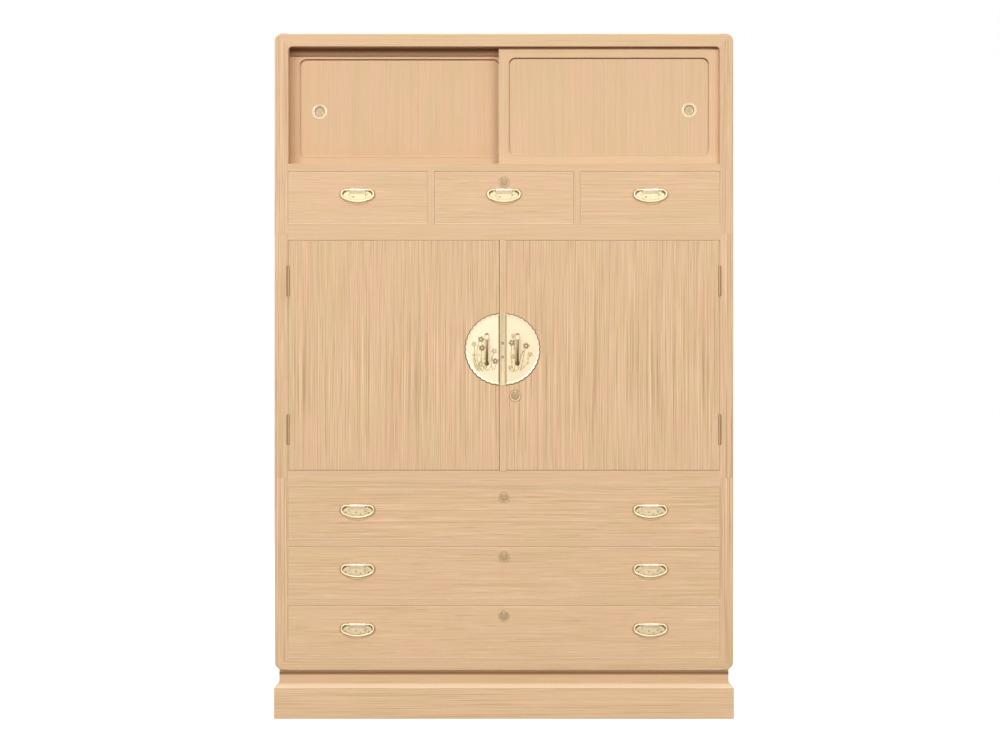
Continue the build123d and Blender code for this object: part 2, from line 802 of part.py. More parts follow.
with BuildPart() as door_lock:
    escutcheon(door_lock_x, door_lock_z)
    board(
        door_lock_span,
        (lock_y, front_y + door_thickness),
        (door_lock_z - lock_width / 2, door_lock_z + lock_width / 2),
    )
    slot = bolt_thickness / 2 + bolt_clearance
    board(
        (right_door_x[0], right_door_x[0] + bolt_height),
        (door_bolt_y - slot, door_bolt_y + slot),
        (door_lock_z - bolt_width / 2 - bolt_clearance, door_lock_z + bolt_width / 2 + bolt_clearance),
        mode=Mode.SUBTRACT,
    )
    board(
        (right_door_x[0], right_door_x[0] + bolt_height - bolt_clearance),
        (door_bolt_y - bolt_thickness / 2, door_bolt_y + bolt_thickness / 2),
        (door_lock_z - bolt_width / 2, door_lock_z + bolt_width / 2),
    )
save(door_lock.part, "door_lock")
save(keyhole_cover(door_lock_x, door_lock_z), "door_keyhole_cover")


# ---------------------------------------------------------------- bail handles
barrel_y = front_y - seat_thickness - barrel_radius


def bail_seat(x, z):
    """Seat plate with the rolled barrel that carries the bail's top bar."""
    with BuildSketch(front_view(front_y, x, z)) as plate:
        Polygon(*DShape(seat_width, seat_height, seat_corner, barrel_radius).points())
    extrude(plate.sketch, amount=seat_thickness)
    with BuildSketch(Plane.YZ.offset(x - barrel_length / 2)) as barrel:
        with Locations((barrel_y, z)):
            RegularPolygon(barrel_radius, barrel_sides)
        with Locations((middle((barrel_y, front_y)), z)):
            Rectangle(front_y - barrel_y, 2 * barrel_radius)
        with Locations((barrel_y, z)):
            Circle(bail_pin_radius + pin_clearance, mode=Mode.SUBTRACT)
    extrude(barrel.sketch, amount=barrel_length)


def bail(x, z):
    """The swinging grip: a D of square bar, turned round where it runs in the barrel."""
    shoulder = barrel_length + 2 * barrel_end_gap
    outer = DShape(bail_width, bail_height, bail_corner, bail_bar / 2)
    inner_width = bail_width - 2 * bail_bar
    inner_height = bail_height - 2 * bail_bar
    inner = DShape(inner_width, inner_height, bail_corner - bail_bar, -bail_bar / 2)
    with BuildPart() as grip:
        with BuildSketch(front_view(barrel_y + bail_bar / 2, x, z)):
            Polygon(*outer.points())
            Polygon(*inner.points(), mode=Mode.SUBTRACT)
            Rectangle(shoulder, 2 * bail_bar, mode=Mode.SUBTRACT)
        extrude(amount=bail_bar)
        with BuildSketch(Plane.YZ.offset(x - shoulder / 2)):
            with Locations((barrel_y, z)):
                Circle(bail_pin_radius)
        extrude(amount=shoulder)
    return grip.part


# ---------------------------------------------------------------- drawers
class Drawer:
    """Where one drawer goes, how wide it is and what its front carries."""

    def __init__(self, name, x, opening_z, opening_width, opening_height, handles, lock):
        self.name = name
        self.x = x
        self.half = opening_width / 2 - drawer_side_gap
        self.low = opening_z + running_gap
        self.high = opening_z + opening_height - drawer_top_gap
        self.middle_z = opening_z + opening_height / 2
        self.handles = handles
        self.lock = lock


small_places = (("left", -1), ("centre", 0), ("right", 1))
drawers = [
    Drawer(
        f"small_drawer_{place}",
        step * small_drawer_pitch,
        small_drawer_z,
        small_drawer_width,
        small_drawer_opening,
        {"bail": step * small_drawer_pitch},
        place == "centre",
    )
    for place, step in small_places
]
for level, place in enumerate(("bottom", "middle", "top")):
    drawers.append(
        Drawer(
            f"wide_drawer_{place}",
            0.0,
            first_drawer_z + level * drawer_pitch,
            wide_drawer_width,
            wide_drawer_opening,
            {"left_bail": -small_drawer_pitch, "right_bail": small_drawer_pitch},
            True,
        )
    )

box_back_y = panel_y - drawer_rear_gap
front_back_y = front_y + drawer_front_thickness

for drawer in drawers:
    x = drawer.x
    half = drawer.half
    inner = half - drawer_board_thickness
    lap_y = front_back_y - drawer_board_thickness
    handle_z = drawer.middle_z + handle_rise
    lock_z = drawer.middle_z + lock_rise
    lock_low_z = drawer.high - lock_height
    lock_front_y = front_back_y - lock_thickness

    with BuildPart() as drawer_front:
        with BuildSketch(Plane.XY.offset(drawer.low)):
            with BuildLine():
                Polyline(
                    (x - half, front_y),
                    (x + half, front_y),
                    (x + half, lap_y),
                    (x + inner, lap_y),
                    (x + inner, front_back_y),
                    (x - inner, front_back_y),
                    (x - inner, lap_y),
                    (x - half, lap_y),
                    close=True,
                )
            make_face()
        extrude(amount=drawer.high - drawer.low)
        ease_front(drawer_edge_bevel)
        if drawer.lock:
            board(
                (x - lock_width / 2, x + lock_width / 2),
                (lock_front_y, front_back_y),
                (lock_low_z, drawer.high),
                mode=Mode.SUBTRACT,
            )
            with BuildSketch(front_view(lock_front_y, x, lock_z)):
                keyhole()
            extrude(amount=lock_front_y - front_y, mode=Mode.SUBTRACT)
    save(drawer_front.part, f"{drawer.name}_front")

    box_z = (drawer.low, drawer.high)
    bottom_z = drawer.low + drawer_bottom_rise
    rear_board_y = box_back_y - drawer_board_thickness
    drawer_box = [
        loose_board((x - half, x - inner), (lap_y, box_back_y), box_z),
        loose_board((x + inner, x + half), (lap_y, box_back_y), box_z),
        loose_board((x - inner, x + inner), (rear_board_y, box_back_y), box_z),
        loose_board(
            (x - inner, x + inner),
            (front_back_y, rear_board_y),
            (bottom_z, bottom_z + drawer_bottom_thickness),
        ),
    ]
    save(drawer_box, f"{drawer.name}_box")

    with BuildPart() as drawer_fittings:
        for handle_x in drawer.handles.values():
            bail_seat(handle_x, handle_z)
        if drawer.lock:
            escutcheon(x, lock_z)
            board(
                (x - lock_width / 2, x + lock_width / 2),
                (lock_front_y, front_back_y),
                (lock_low_z, drawer.high),
            )
            bolt_y = lock_front_y + lock_thickness / 2
            slot_x = bolt_width / 2 + bolt_clearance
            slot_y = bolt_thickness / 2 + bolt_clearance
            board(
                (x - slot_x, x + slot_x),
                (bolt_y - slot_y, bolt_y + slot_y),
                (drawer.high - bolt_height, drawer.high),
                mode=Mode.SUBTRACT,
            )
            board(
                (x - bolt_width / 2, x + bolt_width / 2),
                (bolt_y - bolt_thickness / 2, bolt_y + bolt_thickness / 2),
                (drawer.high - bolt_height + bolt_clearance, drawer.high),
            )
    save(drawer_fittings.part, f"{drawer.name}_fittings")

    for bail_name, handle_x in drawer.handles.items():
        save(bail(handle_x, handle_z), f"{drawer.name}_{bail_name}")
    if drawer.lock:
        save(keyhole_cover(x, lock_z), f"{drawer.name}_keyhole_cover")
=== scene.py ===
import math

import bmesh
import bpy
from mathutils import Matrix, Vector


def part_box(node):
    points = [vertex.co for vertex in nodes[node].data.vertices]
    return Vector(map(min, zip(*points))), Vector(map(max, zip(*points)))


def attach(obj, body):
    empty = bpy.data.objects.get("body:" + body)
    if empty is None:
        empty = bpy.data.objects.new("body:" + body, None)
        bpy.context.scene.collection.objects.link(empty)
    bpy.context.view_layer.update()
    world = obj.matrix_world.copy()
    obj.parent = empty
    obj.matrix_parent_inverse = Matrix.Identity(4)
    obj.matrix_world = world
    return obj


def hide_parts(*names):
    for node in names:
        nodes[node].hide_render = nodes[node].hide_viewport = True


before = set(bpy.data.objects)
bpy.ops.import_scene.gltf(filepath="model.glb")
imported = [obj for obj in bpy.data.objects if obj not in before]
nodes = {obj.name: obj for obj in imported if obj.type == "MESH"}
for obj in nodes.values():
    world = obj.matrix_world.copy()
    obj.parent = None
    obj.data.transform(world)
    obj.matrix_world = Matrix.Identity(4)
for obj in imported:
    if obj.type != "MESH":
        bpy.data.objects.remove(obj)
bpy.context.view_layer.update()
mm = 0.001
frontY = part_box("wide_drawer_top_front")[0].y / mm      # the face of the drawer fronts and doors
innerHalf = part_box("case_backs")[1].x                   # half the opening between the case sides
print("chest loaded:", len(nodes), "nodes")


def addNode(tree, kind, inputs=(), **settings):
    node = tree.nodes.new(kind)
    for key, value in settings.items():
        setattr(node, key, value)
    for place, value in inputs:
        if isinstance(value, bpy.types.NodeSocket):
            tree.links.new(value, node.inputs[place])
        else:
            node.inputs[place].default_value = value
    return node


def calc(tree, operation, *values):
    return addNode(tree, "ShaderNodeMath", enumerate(values), operation=operation).outputs[0]


def times(tree, first, *others):
    for other in others:
        first = calc(tree, "MULTIPLY", first, other)
    return first


def ramp(tree, value, start, end, low=0.0, high=1.0):
    return addNode(tree, "ShaderNodeMapRange", enumerate((value, start, end, low, high))).outputs[0]


def split(tree, vector):
    return addNode(tree, "ShaderNodeSeparateXYZ", [(0, vector)]).outputs


def join(tree, *values):
    return addNode(tree, "ShaderNodeCombineXYZ", enumerate(values)).outputs[0]


def blendColours(tree, share, first, second):
    return addNode(tree, "ShaderNodeMix", [(0, share), (6, first), (7, second)], data_type="RGBA").outputs[2]


def noise(tree, place, stretch, detail=2.0, roughness=0.5):
    inputs = [(0, place), (1, stretch)]
    scaled = addNode(tree, "ShaderNodeVectorMath", inputs, operation="MULTIPLY").outputs[0]
    look = [("Vector", scaled), ("Scale", 1.0), ("Detail", detail), ("Roughness", roughness)]
    return addNode(tree, "ShaderNodeTexNoise", look).outputs[0]


def newMaterial(name):
    material = bpy.data.materials.new(name)
    material.use_nodes = True
    tree = material.node_tree
    return material, tree, tree.nodes["Principled BSDF"]


def surface(tree, shader, colour, roughness, height=None, relief=None, metallic=0.0, specular=0.5):
    tree.links.new(colour, shader.inputs["Base Color"])
    tree.links.new(roughness, shader.inputs["Roughness"])
    shader.inputs["Metallic"].default_value = metallic
    shader.inputs["Specular IOR Level"].default_value = specular
    if relief:
        strength, rise = relief
        inputs = [("Strength", strength), ("Distance", rise * mm), ("Height", height)]
        tree.links.new(addNode(tree, "ShaderNodeBump", inputs).outputs[0], shader.inputs["Normal"])


# paulownia, pale and straight-grained
woodLook = {
    "honey": (0.736, 0.502, 0.287, 1),
    "rosy": (0.766, 0.503, 0.310, 1),
    "pale": (0.930, 0.668, 0.405, 1),       # light streaks
    "late": (0.500, 0.310, 0.155, 1),       # dark growth lines
    "paintedLight": (0.980, 0.780, 0.540, 1),       # painted light on arrises round the fronts, on faces that look up and at the sliding doors' feet
    "shade": (0.190, 0.066, 0.012, 1),      # the dark line where the cases meet, and painted shade under the head, on the plinth's neck and round the sunk panels
    "innerHoney": (0.780, 0.580, 0.370, 1),
    "innerRosy": (0.800, 0.575, 0.385, 1),
    "layers": {     # how many in a metre along the grain and across it, their detail and its roughness
        "lines": (2.2, 760.0, 0.0, 0.5),
        "streaks": (8.0, 640.0, 2.0, 0.5),
        "dashes": (13.0, 420.0, 1.0, 0.4),
        "fibres": (26.0, 1300.0, 2.0, 0.5),
        "patches": (6.0, 22.0, 1.0, 0.5),
    },
    "marks": (      # layer, levels at which a mark starts and is full, its strength and its colour
        ("streaks", 0.55, 0.68, 0.50, "pale"),
        ("dashes", 0.60, 0.76, 0.50, "pale"),
        ("streaks", 0.47, 0.34, 0.55, "late"),
        ("dashes", 0.40, 0.24, 0.40, "late"),
        ("fibres", 0.42, 0.25, 0.16, "late"),
    ),
    "lineShare": 0.55,                      # of the long growth lines in the streaks
    "rosyFrom": (0.36, 0.64),               # levels of the patches at which honey starts to turn and is rosy
    "endGrain": 0.18,                       # how much darker a board's end is
    "wander": (1.3, 5.0, 0.012),            # of the lines, along and across the grain, and how far they stray
    "slope": 0.8,                           # how far the lines move across the board for a step through it
    "depth": 0.3,                           # how fast the marks change through the board
    "boardSteps": (1.7, 0.31, 0.17),        # from one board's offset to the next, along, across and through
    "turnedOffset": 2.3,                    # of a board that runs the other way in the same piece
    "roughness": (0.3, 0.7, 0.62, 0.52),    # two levels of the fibres and the roughness at them
    "fibreHeight": 0.5,
    "relief": (0.30, 0.5),                  # strength and height
    "specular": 0.25,
}
grainOrder = {"x": (0, 2, 1), "y": (1, 0, 2), "z": (2, 0, 1)}    # along, across and through a board
square = 0.9            # a face looks along an axis where its normal has at least this much of it


def grainCoordinates(tree, point, run, offset):
    steps = zip(grainOrder[run], woodLook["boardSteps"])
    return join(tree, *(calc(tree, "ADD", point[axis], step * offset) for axis, step in steps))


def paulownia(name, run, offset, streak, dash, tone=0.0, inner=False, otherRun=None, zone=None,
              paintedLight=(), shaded=()):
    material, tree, shader = newMaterial(name)
    place = addNode(tree, "ShaderNodeTexCoord").outputs
    point, facing = split(tree, place["Object"]), split(tree, place["Normal"])
    grain = grainCoordinates(tree, point, run, offset)
    if zone:            # the share of the other way round, where boards meet
        other = grainCoordinates(tree, point, otherRun, offset + woodLook["turnedOffset"])
        inputs = [(0, zone(tree, point)), (4, grain), (5, other)]
        grain = addNode(tree, "ShaderNodeMix", inputs, data_type="VECTOR").outputs[1]
    along, across, through = split(tree, grain)
    wanderAlong, wanderAcross, stray = woodLook["wander"]
    wander = noise(tree, grain, (wanderAlong, wanderAcross, wanderAcross), 1.0)
    level = calc(tree, "MULTIPLY_ADD", through, woodLook["slope"], across)
    level = calc(tree, "MULTIPLY_ADD", wander, stray, level)
    rings = join(tree, along, level, calc(tree, "MULTIPLY", through, woodLook["depth"]))

    layers = {}
    for layer, (many, close, detail, roughness) in woodLook["layers"].items():
        layers[layer] = noise(tree, rings, (many, close, close), detail, roughness)
    share = woodLook["lineShare"]
    short = calc(tree, "MULTIPLY", layers["streaks"], 1 - share)
    layers["streaks"] = calc(tree, "MULTIPLY_ADD", layers["lines"], share, short)

    first, second = ("innerHoney", "innerRosy") if inner else ("honey", "rosy")
    share = ramp(tree, layers["patches"], *woodLook["rosyFrom"])
    colour = blendColours(tree, share, woodLook[first], woodLook[second])
    if tone:            # a board a little darker, or with a minus a little paler
        colour = blendColours(tree, abs(tone), colour, woodLook["late" if tone > 0 else "pale"])
    strengths = {"streaks": streak, "dashes": dash, "fibres": 1.0}
    for layer, start, full, strength, tint in woodLook["marks"]:
        share = ramp(tree, layers[layer], start, full, 0.0, strength * strengths[layer])
        colour = blendColours(tree, share, colour, woodLook[tint])
    end = calc(tree, "GREATER_THAN", calc(tree, "ABSOLUTE", facing[grainOrder[run][0]]), square)
    colour = blendColours(tree, calc(tree, "MULTIPLY", end, woodLook["endGrain"]), colour, woodLook["late"])
    for masks, tint in ((paintedLight, "paintedLight"), (shaded, "shade")):
        for mask in masks:
            colour = blendColours(tree, mask(tree, point, facing), colour, woodLook[tint])

    height = calc(tree, "MULTIPLY_ADD", layers["fibres"], woodLook["fibreHeight"], layers["streaks"])
    roughness = ramp(tree, layers["fibres"], *woodLook["roughness"])
    surface(tree, shader, colour, roughness, height, woodLook["relief"], specular=woodLook["specular"])
    return material


# shares of painted light and painted shade on a board, from where a point lies and how its face stands
maskLook = {
    "edgeDepth": 8.0,           # how far behind the fronts an edge is still one of theirs
    "upward": (0.3, 0.6),       # how upright a face's normal is where it starts to count, and counts in full
    "downward": (-0.70, -0.92),
    "behind": (-2.0, 14.0),     # from the fronts, where the shade under a board starts and is full
    "jointHalf": 0.5,           # half the height of the line between two cases
    "lineFull": 0.6,            # the share of a panel's line that has its full colour
    "footFade": (0.0, 1.5),     # where the line's share changes, in corner radii from the panel's end
    "headFade": (1.0, 0.3),
}


def ahead(tree, point, face):
    return calc(tree, "LESS_THAN", point[1], face + maskLook["edgeDepth"] * mm)


def arris(low, high, width, sides, foot, head):     # painted light on a front's own edges
    def mask(tree, point, facing):
        strongest = 0.0
        for first, second, share in ((point[0], low.x, sides), (high.x, point[0], sides),
                                     (point[2], low.z, foot), (high.z, point[2], head)):
            near = calc(tree, "LESS_THAN", calc(tree, "SUBTRACT", first, second), width * mm)
            strongest = calc(tree, "MAXIMUM", times(tree, near, share), strongest)
        return times(tree, ahead(tree, point, low.y), strongest)
    return mask


def openingEdges(reach, share):     # painted light on the case's own edges round the fronts
    def mask(tree, point, facing):
        turned = calc(tree, "LESS_THAN", calc(tree, "ABSOLUTE", facing[1]), square)
        inside = calc(tree, "LESS_THAN", calc(tree, "ABSOLUTE", point[0]), reach)
        return times(tree, turned, inside, ahead(tree, point, frontY * mm), share)
    return mask


def band(start, full, share):       # grows from one height to another, or fades where the first is higher
    return lambda tree, point, facing: ramp(tree, point[2], start * mm, full * mm, 0.0, share)


def hump(start, full, past, end, share):
    def mask(tree, point, facing):
        rising = ramp(tree, point[2], start * mm, full * mm, 0.0, share)
        return calc(tree, "MINIMUM", rising, ramp(tree, point[2], past * mm, end * mm, share, 0.0))
    return mask


def hairline(height, share):        # where two cases meet
    def mask(tree, point, facing):
        return times(tree, calc(tree, "COMPARE", point[2], height * mm, maskLook["jointHalf"] * mm), share)
    return mask


# painted light on faces that look up
def lookingUp(share):
    return lambda tree, point, facing: ramp(tree, facing[2], *maskLook["upward"], 0.0, share)


def lookingDown(share):             # painted shade on faces that look down, behind the fronts
    start, full = maskLook["behind"]

    def mask(tree, point, facing):
        deep = ramp(tree, point[1], (frontY + start) * mm, (frontY + full) * mm)
        return times(tree, ramp(tree, facing[2], *maskLook["downward"], 0.0, share), deep)
    return mask


def fieldLine(field, corner, width, outward, shares):       # a painted line round a sunk panel, with its share at its foot, sides and head
    middleX, halfX, middleZ, halfZ = field
    foot, side, head = shares

    def mask(tree, point, facing):
        height = calc(tree, "SUBTRACT", point[2], middleZ)
        fromMiddle = calc(tree, "ABSOLUTE", calc(tree, "SUBTRACT", point[0], middleX))
        across = calc(tree, "SUBTRACT", fromMiddle, halfX - corner)
        up = calc(tree, "SUBTRACT", calc(tree, "ABSOLUTE", height), halfZ - corner)
        outX, outZ = calc(tree, "MAXIMUM", across, 0.0), calc(tree, "MAXIMUM", up, 0.0)
        bend = calc(tree, "SQRT", calc(tree, "MULTIPLY_ADD", outX, outX, times(tree, outZ, outZ)))
        within = calc(tree, "MINIMUM", calc(tree, "MAXIMUM", across, up), 0.0)
        reach = calc(tree, "SUBTRACT", calc(tree, "ADD", bend, within), corner)
        off = calc(tree, "ABSOLUTE", calc(tree, "SUBTRACT", reach, outward * mm))
        line = ramp(tree, off, width * mm, maskLook["lineFull"] * width * mm)
        start, full = (-halfZ + radii * corner for radii in maskLook["footFade"])
        share = ramp(tree, height, start, full, foot, side)
        start, full = (halfZ - radii * corner for radii in maskLook["headFade"])
        share = calc(tree, "MAXIMUM", share, ramp(tree, height, start, full, side, head))
        return times(tree, line, share)
    return mask


brassColours = {
    "plateLeft": (0.860, 0.700, 0.480, 1),
    "plateRight": (0.800, 0.640, 0.420, 1),
    "seat": (0.700, 0.570, 0.360, 1),
    # painted shade round the seat plates' edges, as under the bails; also the cups' groove and darker patches
    "seatEdge": (0.560, 0.385, 0.215, 1),
    "seatEdgeShade": (0.330, 0.210, 0.100, 1),
    "cupRim": (0.890, 0.730, 0.540, 1),
    "cupFloor": (0.620, 0.480, 0.300, 1),
    "strip": (0.690, 0.560, 0.340, 1),
    "shadedBrass": (0.540, 0.430, 0.215, 1),
    # polished rims, barrels and the top of the aprons, with a painted highlight
    "rim": (0.890, 0.765, 0.595, 1),
    "wire": (0.930, 0.770, 0.530, 1),
    "wireShade": (0.720, 0.570, 0.350, 1),
    # patina of the engraving, also used as painted shadow round plate edges and inside the bails' shoulders
    "patinaAndShadow": (0.185, 0.135, 0.050, 1),
    "stem": (0.410, 0.375, 0.160, 1),
    "faint": (0.430, 0.345, 0.195, 1),
    "tan": (0.620, 0.425, 0.245, 1),
    "tanShade": (0.430, 0.285, 0.145, 1),
    "cover": (0.470, 0.325, 0.180, 1),
    "coverShade": (0.350, 0.230, 0.115, 1),
    "hinge": (0.560, 0.370, 0.215, 1),
    "hingeShade": (0.290, 0.170, 0.070, 1),
    "steel": (0.300, 0.290, 0.270, 1),
    "darkSteel": (0.150, 0.143, 0.130, 1),
}
metalFinish = {
    "patchFrom": (0.42, 0.78),      # levels at which a patch of the second colour starts and is full
    "patchDetail": 3.0,
    "brushing": 1400.0,             # fine marks in a metre
    "brushGloss": 0.16,             # how far the roughness goes up and down with them
    "relief": (0.25, 0.12),         # strength and height
    "dirtAndShadeFrom": (0.85, 0.30),       # how open a corner is where dirt and painted shade start and are full
    "dirtAndShadeSamples": 6,
}


def metal(name, light, dark, roughness, metallic=0.6, patch=90.0, amount=0.35, crevice=0.55, reach=3.0):
    material, tree, shader = newMaterial(name)
    place = addNode(tree, "ShaderNodeTexCoord").outputs["Object"]
    patches = noise(tree, place, (patch, patch, patch), metalFinish["patchDetail"])
    many = metalFinish["brushing"]
    fine = noise(tree, place, (many, many, many))
    share = ramp(tree, patches, *metalFinish["patchFrom"], 0.0, amount)
    colour = blendColours(tree, share, brassColours[light], brassColours[dark])
    if crevice:                 # old polish and dirt stay in the corners, and painted shade falls where parts meet
        many = metalFinish["dirtAndShadeSamples"]
        around = addNode(tree, "ShaderNodeAmbientOcclusion", [("Distance", reach * mm)], samples=many)
        dirtAndShade = ramp(tree, around.outputs["AO"], *metalFinish["dirtAndShadeFrom"], 0.0, crevice)
        colour = blendColours(tree, dirtAndShade, colour, brassColours["patinaAndShadow"])
    gloss = metalFinish["brushGloss"]
    roughness = calc(tree, "MULTIPLY_ADD", fine, gloss, roughness - gloss / 2)
    surface(tree, shader, colour, roughness, fine, metalFinish["relief"], metallic)
    return material


leftBrass = metal("plateBrassLeft", "plateLeft", "plateRight", 0.38, patch=24.0, amount=0.7)
rightBrass = metal("plateBrassRight", "plateRight", "plateLeft", 0.38, patch=24.0, amount=0.5)
stripBrass = metal("stripBrass", "strip", "shadedBrass", 0.55, metallic=0.3)
seatBrass = metal("seatBrass", "seat", "shadedBrass", 0.40, patch=140.0, amount=0.4, crevice=0.8, reach=5.0)
rimAndHighlightBrass = metal("polishedRimAndHighlight", "rim", "plateRight", 0.30, crevice=0.3)
wireBrass = metal("bailBrass", "wire", "wireShade", 0.30, patch=160.0, amount=0.3, crevice=0.3)
patinaAndShadow = metal("engravedPatinaAndShadow", "patinaAndShadow", "shadedBrass", 0.5, patch=300.0, crevice=0.0)
stemPatina = metal("stemPatina", "stem", "patinaAndShadow", 0.5, patch=300.0, crevice=0.0)
faintPatina = metal("faintPatina", "faint", "shadedBrass", 0.5, patch=300.0, crevice=0.0)
seatEdgeBrass = metal("seatEdgeBrass", "seatEdge", "seatEdgeShade", 0.5, metallic=0.3, patch=120.0,
                      amount=0.3, crevice=0.5)
cupRimBrass = metal("cupRimBrass", "cupRim", "seatEdge", 0.42, metallic=0.4, amount=0.4, crevice=0.7,
                    reach=1.6)
cupFloorBrass = metal("cupFloorBrass", "cupFloor", "seatEdge", 0.5, metallic=0.3, patch=140.0, amount=0.3,
                      crevice=0.8, reach=4.0)
tanBrass = metal("escutcheonBrass", "tan", "tanShade", 0.48, metallic=0.35, patch=150.0, amount=0.3)
coverBrass = metal("coverBrass", "cover", "coverShade", 0.55, metallic=0.2, patch=170.0, amount=0.4,
                   crevice=0.3)
steel = metal("lockSteel", "steel", "darkSteel", 0.4, patch=60.0, crevice=0.3)
print("materials ready")


# where each board's grain turns: 1 where it runs the other way
def boardEnds(middle, halfWidth):       # the side boards of a box or tray
    return lambda tree, point: calc(tree, "SUBTRACT", 1.0, calc(tree, "COMPARE", point[0], middle, halfWidth))


def mitredSides(half, front, back):     # the plinth's side boards, up to the mitre
    def mask(tree, point):
        fromSide = calc(tree, "SUBTRACT", half, calc(tree, "ABSOLUTE", point[0]))
        fromFront = calc(tree, "SUBTRACT", point[1], front)
        fromBack = calc(tree, "SUBTRACT", back, point[1])
        return calc(tree, "LESS_THAN", fromSide, calc(tree, "MINIMUM", fromFront, fromBack))
    return mask


def doorRails(middleX, halfX, middleZ, halfZ):      # the rails of a sliding door
    def mask(tree, point):
        between = calc(tree, "COMPARE", point[0], middleX, halfX)
        panel = calc(tree, "COMPARE", point[2], middleZ, halfZ)
        return times(tree, between, calc(tree, "SUBTRACT", 1.0, panel))
    return mask


def dress(name, material):
    for place in nodes[name].material_slots:
        place.material = material


boards = {      # node: grain direction, offset of its own, long streaks, short dashes, tone
    "upper_case_top": ("x", 1.1, 0.5, 0.4, -0.06),
    "upper_case_sides": ("z", 2.4, 1.7, 0.35, 0.0),
    "upper_case_bottom": ("x", 3.9, 0.4, 0.5, -0.04),
    "sliding_door_tracks": ("x", 5.2, 0.4, 0.5, -0.04),
    "small_drawer_dividers": ("z", 6.6, 0.4, 0.3, -0.06),
    "middle_case_sides": ("z", 7.5, 1.8, 0.35, 0.0),
    "middle_case_top_and_bottom": ("x", 8.1, 0.4, 0.6, 0.0),
    "lower_case_sides": ("z", 9.7, 1.7, 0.35, -0.03),
    "lower_case_top_and_bottom": ("x", 10.3, 0.7, 0.6, -0.04),
    "lower_drawer_shelves": ("x", 11.9, 0.3, 0.6, 0.0),
    "left_door": ("z", 12.2, 1.8, 0.35, 0.0),
    "right_door": ("z", 13.8, 1.8, 0.35, 0.0),
    "meeting_strip": ("z", 14.4, 0.7, 0.3, 0.03),
}
lowerJoint, upperJoint, jointShare = 597.0, 1203.0, 0.1      # where the cases meet, and how far it shows
boardShades = {
    "upper_case_sides": (hairline(upperJoint, jointShare),),
    "middle_case_sides": (hairline(lowerJoint, jointShare), hairline(upperJoint, jointShare)),
    "lower_case_sides": (hairline(lowerJoint, jointShare),),
    # painted shade under the top board, behind the fronts
    "upper_case_top": (lookingDown(0.92),),
    "sliding_door_tracks": (band(1640.0, 1648.0, 0.74), band(1658.0, 1660.5, 0.66)),     # painted shade on the rib, up into the head
}
openingLight = 1.0
doorArris = (1.1, 0.75, 0.0, 0.75)      # width of the painted light along the edge, and its share at sides, foot and head
drawerArris = (1.5, 0.35, 0.95, 0.55)
for name, (run, offset, streak, dash, tone) in boards.items():
    isDoor = name.endswith("_door")
    paintedLight = arris(*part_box(name), *doorArris) if isDoor else openingEdges(innerHalf + mm, openingLight)
    wood = paulownia(name + "_wood", run, offset, streak, dash, tone, paintedLight=[paintedLight],
                     shaded=boardShades.get(name, ()))
    dress(name, wood)

drawers = {     # offset, long streaks, short dashes, tone
    "small_drawer_left": (20.3, 0.7, 0.85, -0.10),
    "small_drawer_centre": (21.7, 0.7, 0.85, -0.10),
    "small_drawer_right": (23.0, 0.7, 0.85, -0.10),
    "wide_drawer_bottom": (24.4, 0.7, 1.0, -0.14),
    "wide_drawer_middle": (25.8, 0.8, 1.1, -0.08),
    "wide_drawer_top": (27.1, 0.9, 1.2, -0.06),
}
drawerBox = {
    "sideBoard": 10.0,
    "offset": 30.1,             # of the first box's wood, and on to the next one's
    "offsetStep": 1.7,
    "marks": (0.5, 0.6),        # long streaks, short dashes
}
for number, (name, (offset, streak, dash, tone)) in enumerate(drawers.items()):
    paintedLight = arris(*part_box(name + "_front"), *drawerArris)
    wood = paulownia(name + "_wood", "x", offset, streak, dash, tone, paintedLight=[paintedLight])
    dress(name + "_front", wood)
    low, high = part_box(name + "_box")
    zone = boardEnds((low.x + high.x) / 2, (high.x - low.x) / 2 - drawerBox["sideBoard"] * mm)
    offset = drawerBox["offset"] + drawerBox["offsetStep"] * number
    wood = paulownia(name + "_inner_wood", "x", offset, *drawerBox["marks"], inner=True, otherRun="y",
                     zone=zone)
    dress(name + "_box", wood)

trayBoard = 9.0                 # a tray's side board
innerBoards = {     # node: grain direction, offset, long streaks, short dashes, where the grain turns
    "case_backs": ("x", 41.0, 0.8, 0.5, None),
    "tray_runners": ("y", 43.1, 0.6, 0.5, None),
    "clothing_trays": ("x", 45.2, 0.6, 0.6, boardEnds(0.0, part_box("clothing_trays")[1].x - trayBoard * mm)),
}
for name, (run, offset, streak, dash, zone) in innerBoards.items():
    wood = paulownia(name + "_wood", run, offset, streak, dash, inner=True, otherRun="y", zone=zone)
    dress(name, wood)

plinth = {      # offset, long streaks, short dashes, tone, painted light, painted shade
    # painted light on the base's bevel, which looks up
    "plinth_base": (50.5, 1.1, 0.5, -0.32, (lookingUp(0.85),), ()),
    # painted shadow under the case, on the neck
    "plinth_neck": (53.8, 0.4, 0.6, 0.0, (), (hump(106.0, 111.0, 115.0, 118.5, 0.86),)),
}
for name, (offset, streak, dash, tone, paintedLight, shaded) in plinth.items():
    low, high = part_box(name)
    zone = mitredSides(high.x, low.y, high.y)
    wood = paulownia(name + "_wood", "x", offset, streak, dash, tone, otherRun="y", zone=zone,
                     paintedLight=paintedLight, shaded=shaded)
    dress(name, wood)

